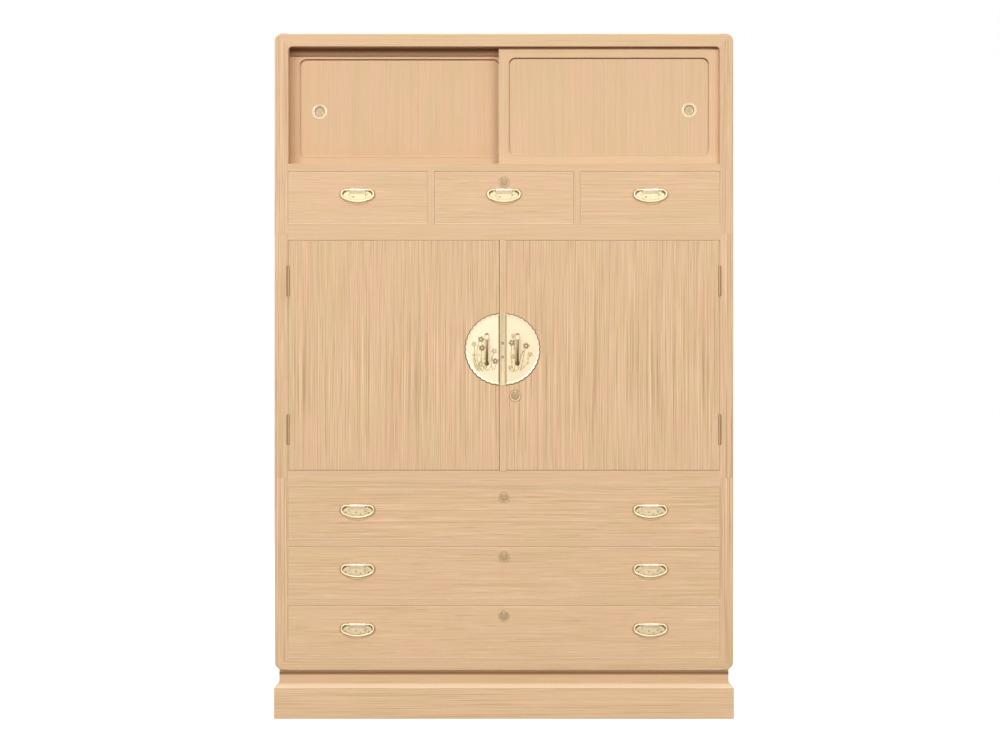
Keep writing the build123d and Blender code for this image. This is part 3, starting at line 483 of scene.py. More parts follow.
slidingDoor = {
    "stile": 26.0,
    "rail": 21.5,
    "topTongue": 13.0,          # the tongues in the tracks, above and below the door's shoulders
    "footTongue": 4.5,
    "fieldCorner": 16.0,
    "fieldLine": 1.6,           # half the width of the painted shadow line round the sunk panel
    "outward": {"left": 1.4, "right": 0.2},     # how far its middle stands outside the panel's edge
    "lineShares": (0.0, 0.26, 1.0),
    "footShares": (0.32, 0.0, 0.0),             # painted light on the step at its foot
    "footLine": 2.4,
    "paler": (30.0, 14.0, 0.16),                # from the door's foot, where painted light turns it a little paler
    "offsets": {"left": 60.2, "right": 63.1},
    "marks": (0.35, 0.25, -0.04),               # long streaks, short dashes, tone
}
for side, offset in slidingDoor["offsets"].items():
    name = side + "_sliding_door"
    low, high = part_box(name)
    foot, top = low.z + slidingDoor["footTongue"] * mm, high.z - slidingDoor["topTongue"] * mm
    field = ((low.x + high.x) / 2, (high.x - low.x) / 2 - slidingDoor["stile"] * mm,
             (foot + top) / 2, (top - foot) / 2 - slidingDoor["rail"] * mm)
    corner = slidingDoor["fieldCorner"] * mm
    # a painted shadow line round the sunk panel, and painted light on the step at its foot
    line = fieldLine(field, corner, slidingDoor["fieldLine"], slidingDoor["outward"][side],
                     slidingDoor["lineShares"])
    paintedLightFoot = fieldLine(field, corner, slidingDoor["footLine"], 0.0, slidingDoor["footShares"])
    start, full, share = slidingDoor["paler"]
    paler = band(foot / mm + start, foot / mm + full, share)
    wood = paulownia(name + "_wood", "z", offset, *slidingDoor["marks"], otherRun="x", zone=doorRails(*field),
                     paintedLight=[paler, paintedLightFoot], shaded=[line])
    dress(name, wood)
print("boards dressed")


# shaping helpers work in millimetres: u to the right, v up, h out of the front
def pieceFrom(build, name, body, slotName, materials, *stoodFor, smooth=40):
    mesh = bpy.data.meshes.new(name)
    bmesh.ops.remove_doubles(build, verts=build.verts, dist=1e-7)
    bmesh.ops.recalc_face_normals(build, faces=build.faces)
    build.to_mesh(mesh)
    build.free()
    for material in materials:
        mesh.materials.append(material)
    piece = bpy.data.objects.new(name, mesh)
    bpy.context.scene.collection.objects.link(piece)
    mesh.shade_smooth()
    mesh.set_sharp_from_angle(angle=math.radians(smooth))
    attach(piece, body)
    if stoodFor:
        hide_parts(*stoodFor)
    return piece


def onFront(x, y, z):
    return lambda u, v, h: ((x + u) * mm, (y - h) * mm, (z + v) * mm)


def swung(u, v, a, b, turn):        # the point at a, b from u, v, turned about it
    return u + a * math.cos(turn) - b * math.sin(turn), v + a * math.sin(turn) + b * math.cos(turn)


def turns(count):
    return [2 * math.pi * step / count for step in range(count)]


def paint(faces, index):
    for face in faces:
        face.material_index = index


def loft(build, rings, capStart=True, capEnd=True, index=0):
    made = [[build.verts.new(point) for point in ring] for ring in rings]
    count = len(made[0])
    faces = []
    for first, second in zip(made, made[1:]):
        for place in range(count):
            after = (place + 1) % count
            faces.append(build.faces.new((first[place], first[after], second[after], second[place])))
    if capStart:
        faces.append(build.faces.new(list(reversed(made[0]))))
    if capEnd:
        faces.append(build.faces.new(made[-1]))
    paint(faces, index)
    return faces


def turned(build, at, profile, sectors, lobes=0, depth=0.0, index=0):
    rings = []
    for radius, height, weight in profile:
        ring = []
        for turn in turns(sectors):
            reach = radius
            if lobes:
                reach += depth * weight * (abs(math.sin(lobes * turn / 2)) - 1)
            ring.append(at(reach * math.cos(turn), reach * math.sin(turn), height))
        rings.append(ring)
    return loft(build, rings, index=index)


def tube(build, at, points, radius, sides=8, index=0, closed=False):
    count = len(points)
    sizes = radius if isinstance(radius, list) else [radius] * count
    rings = []
    for place, point in enumerate(points):
        here = Vector(point)
        before = Vector(points[place - 1] if place or closed else point)
        after = Vector(points[(place + 1) % count] if place < count - 1 or closed else point)
        forward = (after - before).normalized()
        side = forward.cross(Vector((0, 0, 1)))
        side = side.normalized() if side.length > 1e-6 else Vector((1, 0, 0))
        up = side.cross(forward)
        spokes = (math.cos(turn) * side + math.sin(turn) * up for turn in turns(sides))
        rings.append([at(*(here + sizes[place] * spoke)) for spoke in spokes])
    if closed:
        rings.append(rings[0])
    return loft(build, rings, capStart=not closed, capEnd=not closed, index=index)


topBevel = 0.7          # how high a slab's bevel is, as a share of its width


def slab(build, at, outline, low, high, bevel, index=0):
    centreU = sum(point[0] for point in outline) / len(outline)
    centreV = sum(point[1] for point in outline) / len(outline)
    reach = max(math.dist(point, (centreU, centreV)) for point in outline)
    inward = 1 - bevel / reach
    inset = [(centreU + (u - centreU) * inward, centreV + (v - centreV) * inward) for u, v in outline]
    levels = ((outline, low), (outline, high - bevel * topBevel), (inset, high))
    return loft(build, [[at(u, v, level) for u, v in edge] for edge, level in levels], index=index)


domeSteps = ((0.0, 1.0), (0.55, 0.86), (0.9, 0.5), (1.0, 0.12))      # shares of its rise and of its width


def dome(build, at, u, v, low, width, height, rise, turn=0.0, sides=10, index=0):
    rings = []
    for lift, share in domeSteps:
        ring = []
        for angle in turns(sides):
            a, b = share * width / 2 * math.cos(angle), share * height / 2 * math.sin(angle)
            ring.append(at(*swung(u, v, a, b, turn), low + lift * rise))
        rings.append(ring)
    return loft(build, rings, index=index)


def block(build, low, high, bevel=0.0):
    made = bmesh.ops.create_cube(build, size=1.0)["verts"]
    for vert in made:
        for axis in range(3):
            vert.co[axis] = (high[axis] if vert.co[axis] > 0 else low[axis]) * mm
    if bevel:
        edges = list({edge for vert in made for edge in vert.link_edges})
        bmesh.ops.bevel(build, geom=edges, offset=bevel * mm, segments=2, profile=0.6, affect="EDGES")


def arc(centreU, centreV, radius, start, end, steps):
    angles = (math.radians(start + (end - start) * step / steps) for step in range(steps + 1))
    return [(centreU + radius * math.cos(angle), centreV + radius * math.sin(angle)) for angle in angles]


def bailOutline(width, height, corner, top, cornerSteps=8, bowSteps=30):
    drop = height - corner      # a D lying on its back, as the bails and their seats are
    reach = width / 2 - corner
    cornerV = top - corner
    bow = (reach**2 + drop**2 - corner**2) / (2 * (drop - corner))
    bowV = top - height + bow
    meet = math.degrees(math.atan2(cornerV - bowV, reach))
    right = arc(reach, cornerV, corner, 90, meet, cornerSteps)
    bottom = arc(0, bowV, bow, meet, -180 - meet, bowSteps)
    left = [(-u, v) for u, v in reversed(right)]
    return right[:-1] + bottom + left[1:]


blossomLook = {     # how far out, length and width as shares of its radius; level and rise; sides
    "petal": (0.62, 0.86, 0.74, 0.0, 0.30, 10),
    "fleck": (0.74, 0.32, 0.26, 0.12, 0.36, 8),
    "centre": (0.0, 0.52, 0.52, 0.10, 0.42, 10),
    "stamen": (0.34, 0.12, 0.12, 0.0, 0.60, 6),
}


def blossom(build, at, u, v, radius, low, turn=0.0, petals=5, index=0, darkIndex=1):
    def drop(part, angle, spin, index):
        out, length, width, level, rise, sides = blossomLook[part]
        place = (u + out * radius * math.cos(angle), v + out * radius * math.sin(angle), low + level)
        dome(build, at, *place, length * radius, width * radius, rise, turn=spin, sides=sides, index=index)

    for step in turns(petals):          # dark petals, each with a bright fleck, round a bright centre
        drop("petal", turn + step, turn + step, darkIndex)
        drop("fleck", turn + step, turn + step, index)
    drop("centre", 0.0, 0.0, index)
    for step in turns(petals):
        drop("stamen", turn + math.pi / petals + step, 0.0, darkIndex)


def between(first, second):
    return tuple((a + b) / 2 for a, b in zip(first, second))


def stem(build, at, points, low, thick=0.75, steps=6, index=1):
    path = [points[0]]          # a bend round each inner point, from middle to middle of the runs beside it
    for first, second, third in zip(points, points[1:], points[2:]):
        start, end = between(first, second), between(second, third)
        for step in range(steps):
            share = step / steps
            a, b, c = (1 - share) ** 2, 2 * share * (1 - share), share**2
            path.append(tuple(a * p + b * q + c * r for p, q, r in zip(start, second, end)))
    path.append(points[-1])
    tube(build, at, [(u, v, low) for u, v in path], thick, sides=6, index=index)


leafLook = {
    "steps": 8,                 # along each side
    "fullness": 0.8,
    "base": (-0.2, 0.10, 0.05),         # levels of its foot and top, and its bevel
    "rib": (0.62, 0.45, 0.35),          # shares of its length and width, and its rise
}


def leaf(build, at, u, v, length, width, turn, low, index=0, darkIndex=1):
    steps, outline = leafLook["steps"], []
    for step in range(2 * steps):
        share = step / steps if step <= steps else 2 - step / steps
        side = 1 if step <= steps else -1
        a = (share - 0.5) * length
        b = side * width / 2 * max(0.0, math.sin(math.pi * share)) ** leafLook["fullness"]
        outline.append(swung(u, v, a, b, turn))
    foot, top, bevel = leafLook["base"]
    slab(build, at, outline, low + foot, low + top, bevel, index=darkIndex)
    long, wide, rise = leafLook["rib"]
    dome(build, at, u, v, low, long * length, wide * width, rise, turn=turn, index=index)


# places that the metalwork takes from the chest
low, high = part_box("left_door_plate")
plateZ = (low.z + high.z) / 2 / mm
leftPlateEdge = high.x / mm
low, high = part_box("meeting_strip")
stripLow, stripHigh = low.x / mm, high.x / mm
stripFrontY = low.y / mm
stripMiddle = (stripLow + stripHigh) / 2

plateLook = {
    "radius": 90.0,
    "lobes": 40,
    "lobeDepth": 1.7,
    "centreInset": 4.0,         # each half's centre beyond its own straight edge
    "edgeGap": 0.6,
    "edgeLine": 0.7,            # half as thick as the painted shadow line along the straight edge
    "edgeLevel": 1.75,
    "edgeRun": range(-86, 87, 4),
    "profile": [        # radius, level and how far it follows the lobes
        (90.0, 0.0, 1.0), (90.0, 0.6, 1.0), (87.5, 1.5, 1.0), (86.9, 2.4, 1.0), (85.8, 2.5, 0.9),
        (84.6, 2.3, 0.8), (83.6, 1.6, 0.6), (82.0, 1.55, 0.3), (70.0, 1.85, 0.0), (40.0, 2.0, 0.0),
        (12.0, 2.0, 0.0),
    ],
    "sectors": 10,              # for each lobe
    "shadowSteps": 2,             # steps of the profile from the outside in with a painted shadow outline, then polished ones with a painted highlight
    "rimSteps": 4,
    "stemLevel": 1.92,
    "ornamentLevel": 1.95,
    "blossomTurn": 0.7,         # from one blossom to the next
    "leftBlossoms": [           # across, up, radius
        (-57.0, 25.0, 8.0), (-74.0, 13.5, 6.6), (-54.5, 4.0, 8.2), (-24.0, -4.0, 7.4), (-21.5, -29.0, 8.4),
        (-57.5, -36.0, 7.4), (-74.0, -14.0, 4.6), (-46.5, -44.0, 5.6),
    ],
    "rightBlossoms": [
        (23.0, 34.0, 6.0), (19.5, 16.5, 8.4), (55.0, 9.0, 8.2), (64.5, -12.0, 7.0), (22.5, -18.0, 6.4),
        (16.0, -44.0, 5.8),
    ],
    "faint": {"left": (1, 3, 5, 6, 7), "right": (0, 3, 4, 5)},      # blossoms nearly polished away
    "leftStems": [
        [(-52, -55), (-66, -35), (-68, 0), (-60, 22)], [(-56, -52), (-74, -30), (-73, 10)],
        [(-50, -50), (-58, -25), (-55, 2)], [(-27, -52), (-34, -30), (-24, -6)],
        [(-24, -50), (-20, -40), (-22, -28)], [(-60, -52), (-72, -46), (-76, -20)],
    ],
    "rightStems": [
        [(40, -52), (47, -25), (54, 8)], [(42, -52), (56, -38), (64, -14)], [(36, -50), (40, -20), (50, -2)],
        [(24, -56), (16, -20), (20, 16)], [(26, -54), (30, -10), (21, 34)], [(22, -56), (12, -50), (15, -42)],
    ],
    "leftLeaves": [             # across, up, length, width, turn
        (-66, -44, 11, 4.2, 2.2), (-57, -26, 10, 3.8, 1.2), (-71, -38, 10, 3.8, 2.0),
        (-50, -36, 10, 4.0, 0.8), (-38, -50, 9, 3.6, 0.5), (-62, 6, 9, 3.4, 1.8),
        (-44, -12, 9, 3.4, 1.0), (-30, -22, 9, 3.4, 1.7),
        (-70, -26, 9, 3.4, 1.9), (-62, -14, 10, 3.2, 1.35), (-47, -22, 9, 3.2, 0.9), (-64, -52, 9, 3.2, 2.6),
        (-32, -42, 9, 3.0, 1.2), (-45, -52, 8, 3.0, 0.3),
    ],
    "rightLeaves": [
        (36, -42, 10, 4.0, 1.3), (46, -42, 10, 4.0, 0.9), (20, -30, 9, 3.6, 2.0), (58, -22, 9, 3.4, 1.3),
        (46, -6, 9, 3.4, 1.2), (30, -52, 9, 3.6, 0.4), (50, -30, 10, 3.4, 1.1), (41, -14, 9, 3.0, 1.7),
        (60, -34, 9, 3.0, 0.7), (30, -34, 9, 3.2, 1.8), (27, 2, 9, 3.0, 1.5), (33, 26, 8, 3.0, 2.4),
    ],
}
plateParts = {"face": 0, "dark": 1, "rim": 2, "pull": 3, "stem": 4, "faint": 5}      # its materials


def halfPlate(build, side, edge, centre):
    at = onFront(centre, frontY, plateZ)
    lobes = plateLook["lobes"]
    sectors = lobes * plateLook["sectors"]
    faces = turned(build, at, plateLook["profile"], sectors, lobes=lobes, depth=plateLook["lobeDepth"])
    # the outer steps carry a painted shadow outline, the next ones a polished rim with a painted highlight
    dark = plateLook["shadowSteps"] * sectors
    paint(faces[:dark], plateParts["dark"])
    paint(faces[dark:dark + plateLook["rimSteps"] * sectors], plateParts["rim"])
    geometry = build.verts[:] + build.edges[:] + build.faces[:]
    cut = bmesh.ops.bisect_plane(build, geom=geometry, plane_co=(edge * mm, 0, 0), plane_no=(-side, 0, 0),
                                 clear_outer=True)
    edges = [item for item in cut["geom_cut"] if isinstance(item, bmesh.types.BMEdge)]
    bmesh.ops.edgenet_fill(build, edges=edges)
    thick = plateLook["edgeLine"]       # a painted shadow line along the straight edge
    line = [(0, v, plateLook["edgeLevel"]) for v in plateLook["edgeRun"]]
    tube(build, onFront(edge + side * thick, frontY, plateZ), line, thick, index=plateParts["dark"])


def ornaments(build, side):
    at = onFront(0.0, frontY, plateZ)
    for points in plateLook[side + "Stems"]:
        stem(build, at, points, plateLook["stemLevel"], index=plateParts["stem"])
    level = plateLook["ornamentLevel"]
    for number, (u, v, radius) in enumerate(plateLook[side + "Blossoms"]):
        petals = plateParts["faint" if number in plateLook["faint"][side] else "dark"]
        blossom(build, at, u, v, radius, level, turn=plateLook["blossomTurn"] * number, darkIndex=petals)
    for u, v, length, width, turn in plateLook[side + "Leaves"]:
        leaf(build, at, u, v, length, width, turn, level, darkIndex=plateParts["stem"])


pullLook = {
    "spacing": 76.0,
    "shift": -1.4,              # the pair stands left of the strip's middle
    "length": 81.0,
    "reach": 22.0,
    "foot": 10.0,
    "waist": 6.4,
    "heads": (0.60, 0.66, -0.80, -0.93),     # shares of the run between which its upper and lower ends widen
    "endInset": 4.0,            # the bow stops short of the pull's own length
    "standing": 2.0,            # the plate's face under the feet
    "pad": (5.4, 1.04, -0.4, 1.1, 0.5),      # of a foot: half height, width share, levels, bevel
    "padSides": 24,
    "lift": 0.6,                # of the bow over the plate at its ends
    "headroom": 3.6,            # between the bow's middle line and its reach
    "bend": 2.6,                # how square the bow is
    "thick": (4.6, 1.4),        # in the middle, and how much more at the ends
    "rounding": (0.75, 0.85),   # of its section, across and out
    "sunk": 0.3,                # how far its ends go into the pads
    "steps": 16,                # in each half of the bow, and round it
    # the head's painted highlight, the plain gilt, and the painted shade of the lower bow, the toe and one
    # side
    "paintedLight": (0.870, 0.790, 0.620, 1),
    "gilt": (0.640, 0.510, 0.240, 1),
    "pullShade": (0.155, 0.112, 0.032, 1),
    "headFrom": (23.5, 26.0),                # above the plate's middle, where the head's painted highlight starts and is full
    "toeFrom": (34.5, 37.0, 0.0, 0.85),
    "pullShadeFrom": (24.0, -16.0, 0.35, 0.95),
    "sideFrom": (-0.8, 0.5, -0.40, 0.30),    # how a face stands across, and what that adds to the painted shade
    "spots": (220.0, 3.0),      # in a metre, and their detail
    "spotShare": (0.4, 0.8),
    "roughness": (0.12, 0.40),
    "metallic": 0.1,
    "specular": 0.15,
}


def pullBrass():                # painted highlight on the head, painted shade further down and on one side
    material, tree, shader = newMaterial("pullBrass")
    place = addNode(tree, "ShaderNodeTexCoord").outputs
    facing = split(tree, place["Normal"])
    height = calc(tree, "SUBTRACT", split(tree, place["Object"])[2], plateZ * mm)

    def overHeights(start, full, low=0.0, high=1.0):
        return ramp(tree, height, start * mm, full * mm, low, high)

    many, detail = pullLook["spots"]
    spots = noise(tree, place["Object"], (many, many, many), detail)
    aside = ramp(tree, facing[0], *pullLook["sideFrom"])
    share = calc(tree, "ADD", overHeights(*pullLook["pullShadeFrom"]), aside)
    share = times(tree, share, calc(tree, "MULTIPLY_ADD", spots, *pullLook["spotShare"]))
    share = calc(tree, "MINIMUM", calc(tree, "MAXIMUM", share, 0.0), 1.0)
    colour = blendColours(tree, share, pullLook["gilt"], pullLook["pullShade"])
    colour = blendColours(tree, overHeights(*pullLook["headFrom"]), colour, pullLook["paintedLight"])
    colour = blendColours(tree, overHeights(*pullLook["toeFrom"]), colour, pullLook["pullShade"])
    roughness = calc(tree, "MULTIPLY_ADD", spots, *pullLook["roughness"])
    surface(tree, shader, colour, roughness, metallic=pullLook["metallic"], specular=pullLook["specular"])
    return material


def rounded(value, reach, power):
    return abs(value) ** power * math.copysign(reach / 2, value)


def bowPull(build, x):
    at = onFront(x, frontY, plateZ)
    half, foot, steps = pullLook["length"] / 2, pullLook["standing"], pullLook["steps"]
    padHeight, widthShare, low, high, bevel = pullLook["pad"]
    for end in (1, -1):
        centre = end * (half - padHeight)
        outline = [(pullLook["foot"] / 2 * widthShare * math.cos(turn), centre + padHeight * math.sin(turn))
                   for turn in turns(pullLook["padSides"])]
        slab(build, at, outline, foot + low, foot + high, bevel, index=plateParts["pull"])
    rings = []
    run, bend = half - pullLook["endInset"], pullLook["bend"]
    rise = pullLook["reach"] - foot - pullLook["headroom"]
    upperStart, upperEnd, lowerStart, lowerEnd = pullLook["heads"]
    middle, more = pullLook["thick"]
    for step in range(2 * steps + 1):
        share = step / steps - 1
        lift = foot + pullLook["lift"] + rise * (1 - abs(share) ** bend)
        slope = -rise * bend * abs(share) ** (bend - 1) * math.copysign(1, share) / run
        forward = Vector((0, 1, slope)).normalized()
        out = Vector((0, -forward.z, forward.y))
        upper = (share - upperStart) / (upperEnd - upperStart)
        lower = (share - lowerStart) / (lowerEnd - lowerStart)
        spread = max(0.0, min(1.0, upper), min(1.0, lower))
        width = pullLook["waist"] + (pullLook["foot"] - pullLook["waist"]) * spread
        thick = middle + more * abs(share) ** 3
        ring = []
        for turn in turns(steps):
            a = rounded(math.cos(turn), width, pullLook["rounding"][0])
            b = rounded(math.sin(turn), thick, pullLook["rounding"][1])
            point = Vector((a, share * run, lift)) + out * b
            ring.append(at(point.x, point.y, max(point.z, foot - pullLook["sunk"])))
        rings.append(ring)
    loft(build, rings, index=plateParts["pull"])


pullMetal = pullBrass()
rightPlateEdge = stripHigh + plateLook["edgeGap"]
pullMiddle = stripMiddle + pullLook["shift"]
halves = (("left", -1, leftPlateEdge, leftBrass), ("right", 1, rightPlateEdge, rightBrass))
for side, sign, edge, face in halves:
    build = bmesh.new()
    halfPlate(build, sign, edge, edge - sign * plateLook["centreInset"])
    ornaments(build, side)
    bowPull(build, pullMiddle + sign * pullLook["spacing"] / 2)
    pieceFrom(build, side + "_round_plate", side + "_door", "brass",
              [face, patinaAndShadow, rimAndHighlightBrass, pullMetal, stemPatina, faintPatina], side + "_door_plate")

stripPlate = {
    "margin": 1.6,              # the strip's own bevel stays bare
    "levels": ((0.0, 0.0), (0.0, 0.7), (0.8, 1.5), (1.7, 1.5), (2.3, 1.15)),     # inset and height
    "lobe": (0.5, 3),           # depth of the lobes at its two ends, and how many steps each takes
    "lines": (-2.2, 4.2),       # engraved lines, from the middle
    "lineLevel": 1.02,
    "lineRun": range(-84, 85, 8),
    "lineThick": 0.30,
    "blossoms": ((-0.4, 15.4, 4.2), (-0.4, -18.7, 4.0)),
    "blossomLevel": 1.12,
}
build = bmesh.new()             # the part of the plate on the meeting strip
at = onFront(stripMiddle, stripFrontY, plateZ)
halfStrip = (stripHigh - stripLow) / 2 - stripPlate["margin"]
depth, lobeSteps = stripPlate["lobe"]
outline = []
for end in (1, -1):
    for step in range(4 * lobeSteps + 1):
        u = halfStrip * (1 - step / (2 * lobeSteps)) * end
        lobe = depth * (abs(math.cos(step * math.pi / lobeSteps)) - 1)
        outline.append((u, end * (math.sqrt(plateLook["radius"] ** 2 - u**2) + lobe)))
rings = []
for inset, level in stripPlate["levels"]:
    across, up = 1 - inset / halfStrip, 1 - inset / plateLook["radius"]
    rings.append([at(u * across, v * up, level) for u, v in outline])
loft(build, rings)
for u in stripPlate["lines"]:
    line = [(u, v, stripPlate["lineLevel"]) for v in stripPlate["lineRun"]]
    tube(build, at, line, stripPlate["lineThick"], sides=6, index=2)
for number, (u, v, size) in enumerate(stripPlate["blossoms"]):
    blossom(build, at, u, v, size, stripPlate["blossomLevel"], turn=0.5 + number)
pieceFrom(build, "strip_plate", "right_door", "brass", [stripBrass, patinaAndShadow, stemPatina])
print("round plate and pulls made")

bailLook = {
    "seat": (91.0, 40.5, 14.0),         # width, height and corner of the seat plate
    "seatProfile": (                    # inset and height
        (0.0, 0.0), (0.0, 0.9), (0.5, 1.35), (1.1, 1.5), (2.0, 1.45), (2.6, 1.1), (5.2, 1.1),
    ),
    "seatThickness": 1.5,
    "leaf": ((0.0, 1.0), (1.0, -9.0), (3.5, -16.0), (-1.0, -22.5), (-8.0, -26.0)),   # under the barrel
    "leafEnd": (2.6, -27.5),            # how far inside the barrel's end its sides start, and its lowest
    "leafLevels": (0.9, 1.4, 0.4),      # foot, top and bevel
    "ring": (84.0, 33.0, 13.0),
    "bar": 4.5,
    "barrelLength": 41.0,
    "barrelRadius": 3.5,
    "barrelEnd": ((-0.5, 0.0), (0.0, 0.5), (0.0, 2.2), (-0.25, 2.5)),    # its moulded ends: radius and inset
    "bore": 2.05,
    "pin": 2.0,
    "pinPlay": 0.15,
    "endGap": 0.3,
    "neckRun": (2.0, 0.8),              # from the barrel's end to where the neck starts and is done
    "root": (0.6, 2.6, 0.8, 2.4),       # the roll's root: end inset, half height, foot and top
    "apron": (          # where the leaf leaves the roll: down and out
        (-0.9, 8.35), (-2.8, 7.1), (-4.4, 5.4), (-5.9, 3.6), (-7.6, 2.2), (-9.6, 1.5), (-9.6, 0.8),
        (-0.9, 0.8),
    ),
    "apronEnd": ((0.6, 0.3), (1.2, 0.0)),       # inset along the barrel, and how much lower there
    "apronFace": 4,                     # the first of its steps that has the seat's own colour; those above have the barrel's painted highlight
    "pocket": 6.0,                      # widest part of the painted shadow inside each shoulder
    "pocketFrom": (1.0, -15.0),         # where it starts behind the barrel's end, and how far down it goes
    "pocketHeart": (14.0, -15.0),       # the point that it narrows toward
    "pocketEdge": 0.6,                  # how far it reaches under the bail
    "pocketSweep": (20.0, -14.0),       # the point round which its edge runs
    "pocketShape": (0.30, 0.70, 0.8),
    "pocketLevels": (0.7, 1.22),
    "neck": 0.84,                       # how thick the bail is beside the barrel, as a share of the rest
    "scrolls": ((-21.0, -13.5, 3.4, 1), (24.5, -11.5, 2.6, -1)),      # across, down, radius, hand
    "scrollLevel": 1.32,
    "scrollThick": 0.36,
    "curl": (0.5, 11, 0.12),            # turn from step to step, steps, and how fast the curl closes
    "twig": ((5.0, -9.0), (5.5, -4.0)),
    "twigLevel": 1.3,
    "twigThick": 0.34,
    "blossoms": {
        "wide": ((-3.5, -16.5, 3.0), (7.5, -21.5, 2.6), (18.5, -14.0, 3.6), (27.5, -18.0, 2.8),
                 (-29.0, -16.5, 2.4)),
        "small": ((-10.5, -17.0, 3.0), (20.5, -12.5, 2.4)),
    },
    "blossomLevel": 1.36,
}
seatParts = {"face": 0, "dark": 1, "barrel": 2, "engraved": 3, "edge": 4}
barrelOut = bailLook["seatThickness"] + bailLook["barrelRadius"]


def seatBarrel(build, at):
    half, radius, bore = bailLook["barrelLength"] / 2, bailLook["barrelRadius"], bailLook["bore"]
    start = [(bore, -half)] + [(radius + step, inset - half) for step, inset in bailLook["barrelEnd"]]
    profile = start + [(r, -along) for r, along in reversed(start)] + start[:1]
    rings = []
    for r, along in profile:
        rings.append([at(along, r * math.sin(turn), barrelOut + r * math.cos(turn)) for turn in turns(24)])
    loft(build, rings, capStart=False, capEnd=False, index=seatParts["barrel"])
    inset, height, foot, top = bailLook["root"]
    corners = (at(inset - half, -height, foot), at(half - inset, height, top))
    block(build, *([pick(values) / mm for values in zip(*corners)] for pick in (min, max)))
    ends = [(inset - half, lower) for inset, lower in bailLook["apronEnd"]]
    rings = []
    for along, lower in ends + [(-along, lower) for along, lower in reversed(ends)]:
        rings.append([at(along, v, max(h - lower, foot)) for v, h in bailLook["apron"]])
    faces = loft(build, rings, index=seatParts["barrel"])
    count = len(bailLook["apron"])
    paint(faces[count + bailLook["apronFace"]:2 * count], seatParts["face"])


def seatPocketShadows(build, at):             # painted shadows between the barrel's ends and the bail's shoulders
    width, height, corner = bailLook["ring"]
    inward = bailLook["bar"] - bailLook["pocketEdge"]
    edge = bailOutline(width - 2 * inward, height - 2 * inward, corner - inward, bailLook["bar"] / 2 - inward)
    overlap, deep = bailLook["pocketFrom"]
    heartU, heartV = bailLook["pocketHeart"]
    sweepU, sweepV = bailLook["pocketSweep"]
    begin, more, power = bailLook["pocketShape"]
    for side in (-1, 1):
        path = [(u, v) for u, v in edge if u * side > bailLook["barrelLength"] / 2 - overlap and v > deep]
        path.sort(key=lambda point: math.atan2(point[1] - sweepV, abs(point[0]) - sweepU), reverse=True)
        inside = []
        for number, (u, v) in enumerate(path):
            share = number / (len(path) - 1)
            wide = bailLook["pocket"] * math.sin(math.pi * (begin + more * share)) ** power
            toward = Vector((side * heartU - u, heartV - v)).normalized() * wide
            inside.append((u + toward.x, v + toward.y))
        outline = path + inside[::-1]
        levels = bailLook["pocketLevels"]
        loft(build, [[at(u, v, level) for u, v in outline] for level in levels], index=seatParts["dark"])


def seatPlate(build, at, kind):
    width, height, corner = bailLook["seat"]
    rings = []
    for inset, level in bailLook["seatProfile"]:
        size = (width - 2 * inset, height - 2 * inset, corner - inset, bailLook["barrelRadius"] - inset)
        rings.append([at(u, v, level) for u, v in bailOutline(*size)])
    faces = loft(build, rings)
    # the edge round the bail has painted shade
    paint(faces[:(len(rings) - 1) * len(rings[0])], seatParts["edge"])
    inset, lowest = bailLook["leafEnd"]
    half = bailLook["barrelLength"] / 2 - inset
    right = [(half + reach, v) for reach, v in bailLook["leaf"]]
    left = [(-u, v) for u, v in reversed(right)]
    slab(build, at, left[-1:] + right + [(0, lowest)] + left[:-1], *bailLook["leafLevels"])
    seatBarrel(build, at)
    seatPocketShadows(build, at)
    angle, count, closing = bailLook["curl"]
    for u, v, radius, hand in bailLook["scrolls"]:
        curl = []
        for turn in (angle * step for step in range(count)):
            reach, level = radius * (1 - closing * turn), bailLook["scrollLevel"]
            curl.append((u + hand * reach * math.cos(turn), v + reach * math.sin(turn), level))
        tube(build, at, curl, bailLook["scrollThick"], sides=6, index=seatParts["engraved"])
        twig = [(u + hand * across, v + up) for across, up in bailLook["twig"]] + [(u + hand * radius, v)]
        stem(build, at, twig, bailLook["twigLevel"], thick=bailLook["twigThick"], index=seatParts["engraved"])
    level, dark = bailLook["blossomLevel"], seatParts["engraved"]
    for number, (u, v, radius) in enumerate(bailLook["blossoms"][kind]):
        blossom(build, at, u, v, radius, level, turn=0.4 + number, darkIndex=dark)


def bailRing(build, at):
    width, height, corner = bailLook["ring"]
    bar, share = bailLook["bar"], bailLook["neck"]
    path = bailOutline(width - bar, height - bar, corner - bar / 2, 0.0, bowSteps=40)
    points = [(u, v, barrelOut) for u, v in path]
    sizes = [bar / 2 * (share + (1 - share) * min(1.0, -v / height)) for u, v in path]
    shoulder = bailLook["barrelLength"] / 2 + bailLook["endGap"]
    neck, pin = bar / 2 * share, bailLook["pin"] - bailLook["pinPlay"]
    far, near = bailLook["neckRun"]
    ends = [(shoulder + far, neck), (shoulder + near, neck), (shoulder, pin)]      # from the ring to the pin
    for u, size in [(-u, size) for u, size in ends] + [(0.0, pin)] + ends[::-1]:
        points.append((u, 0.0, barrelOut))
        sizes.append(size)
    tube(build, at, points, sizes, sides=16, closed=True)


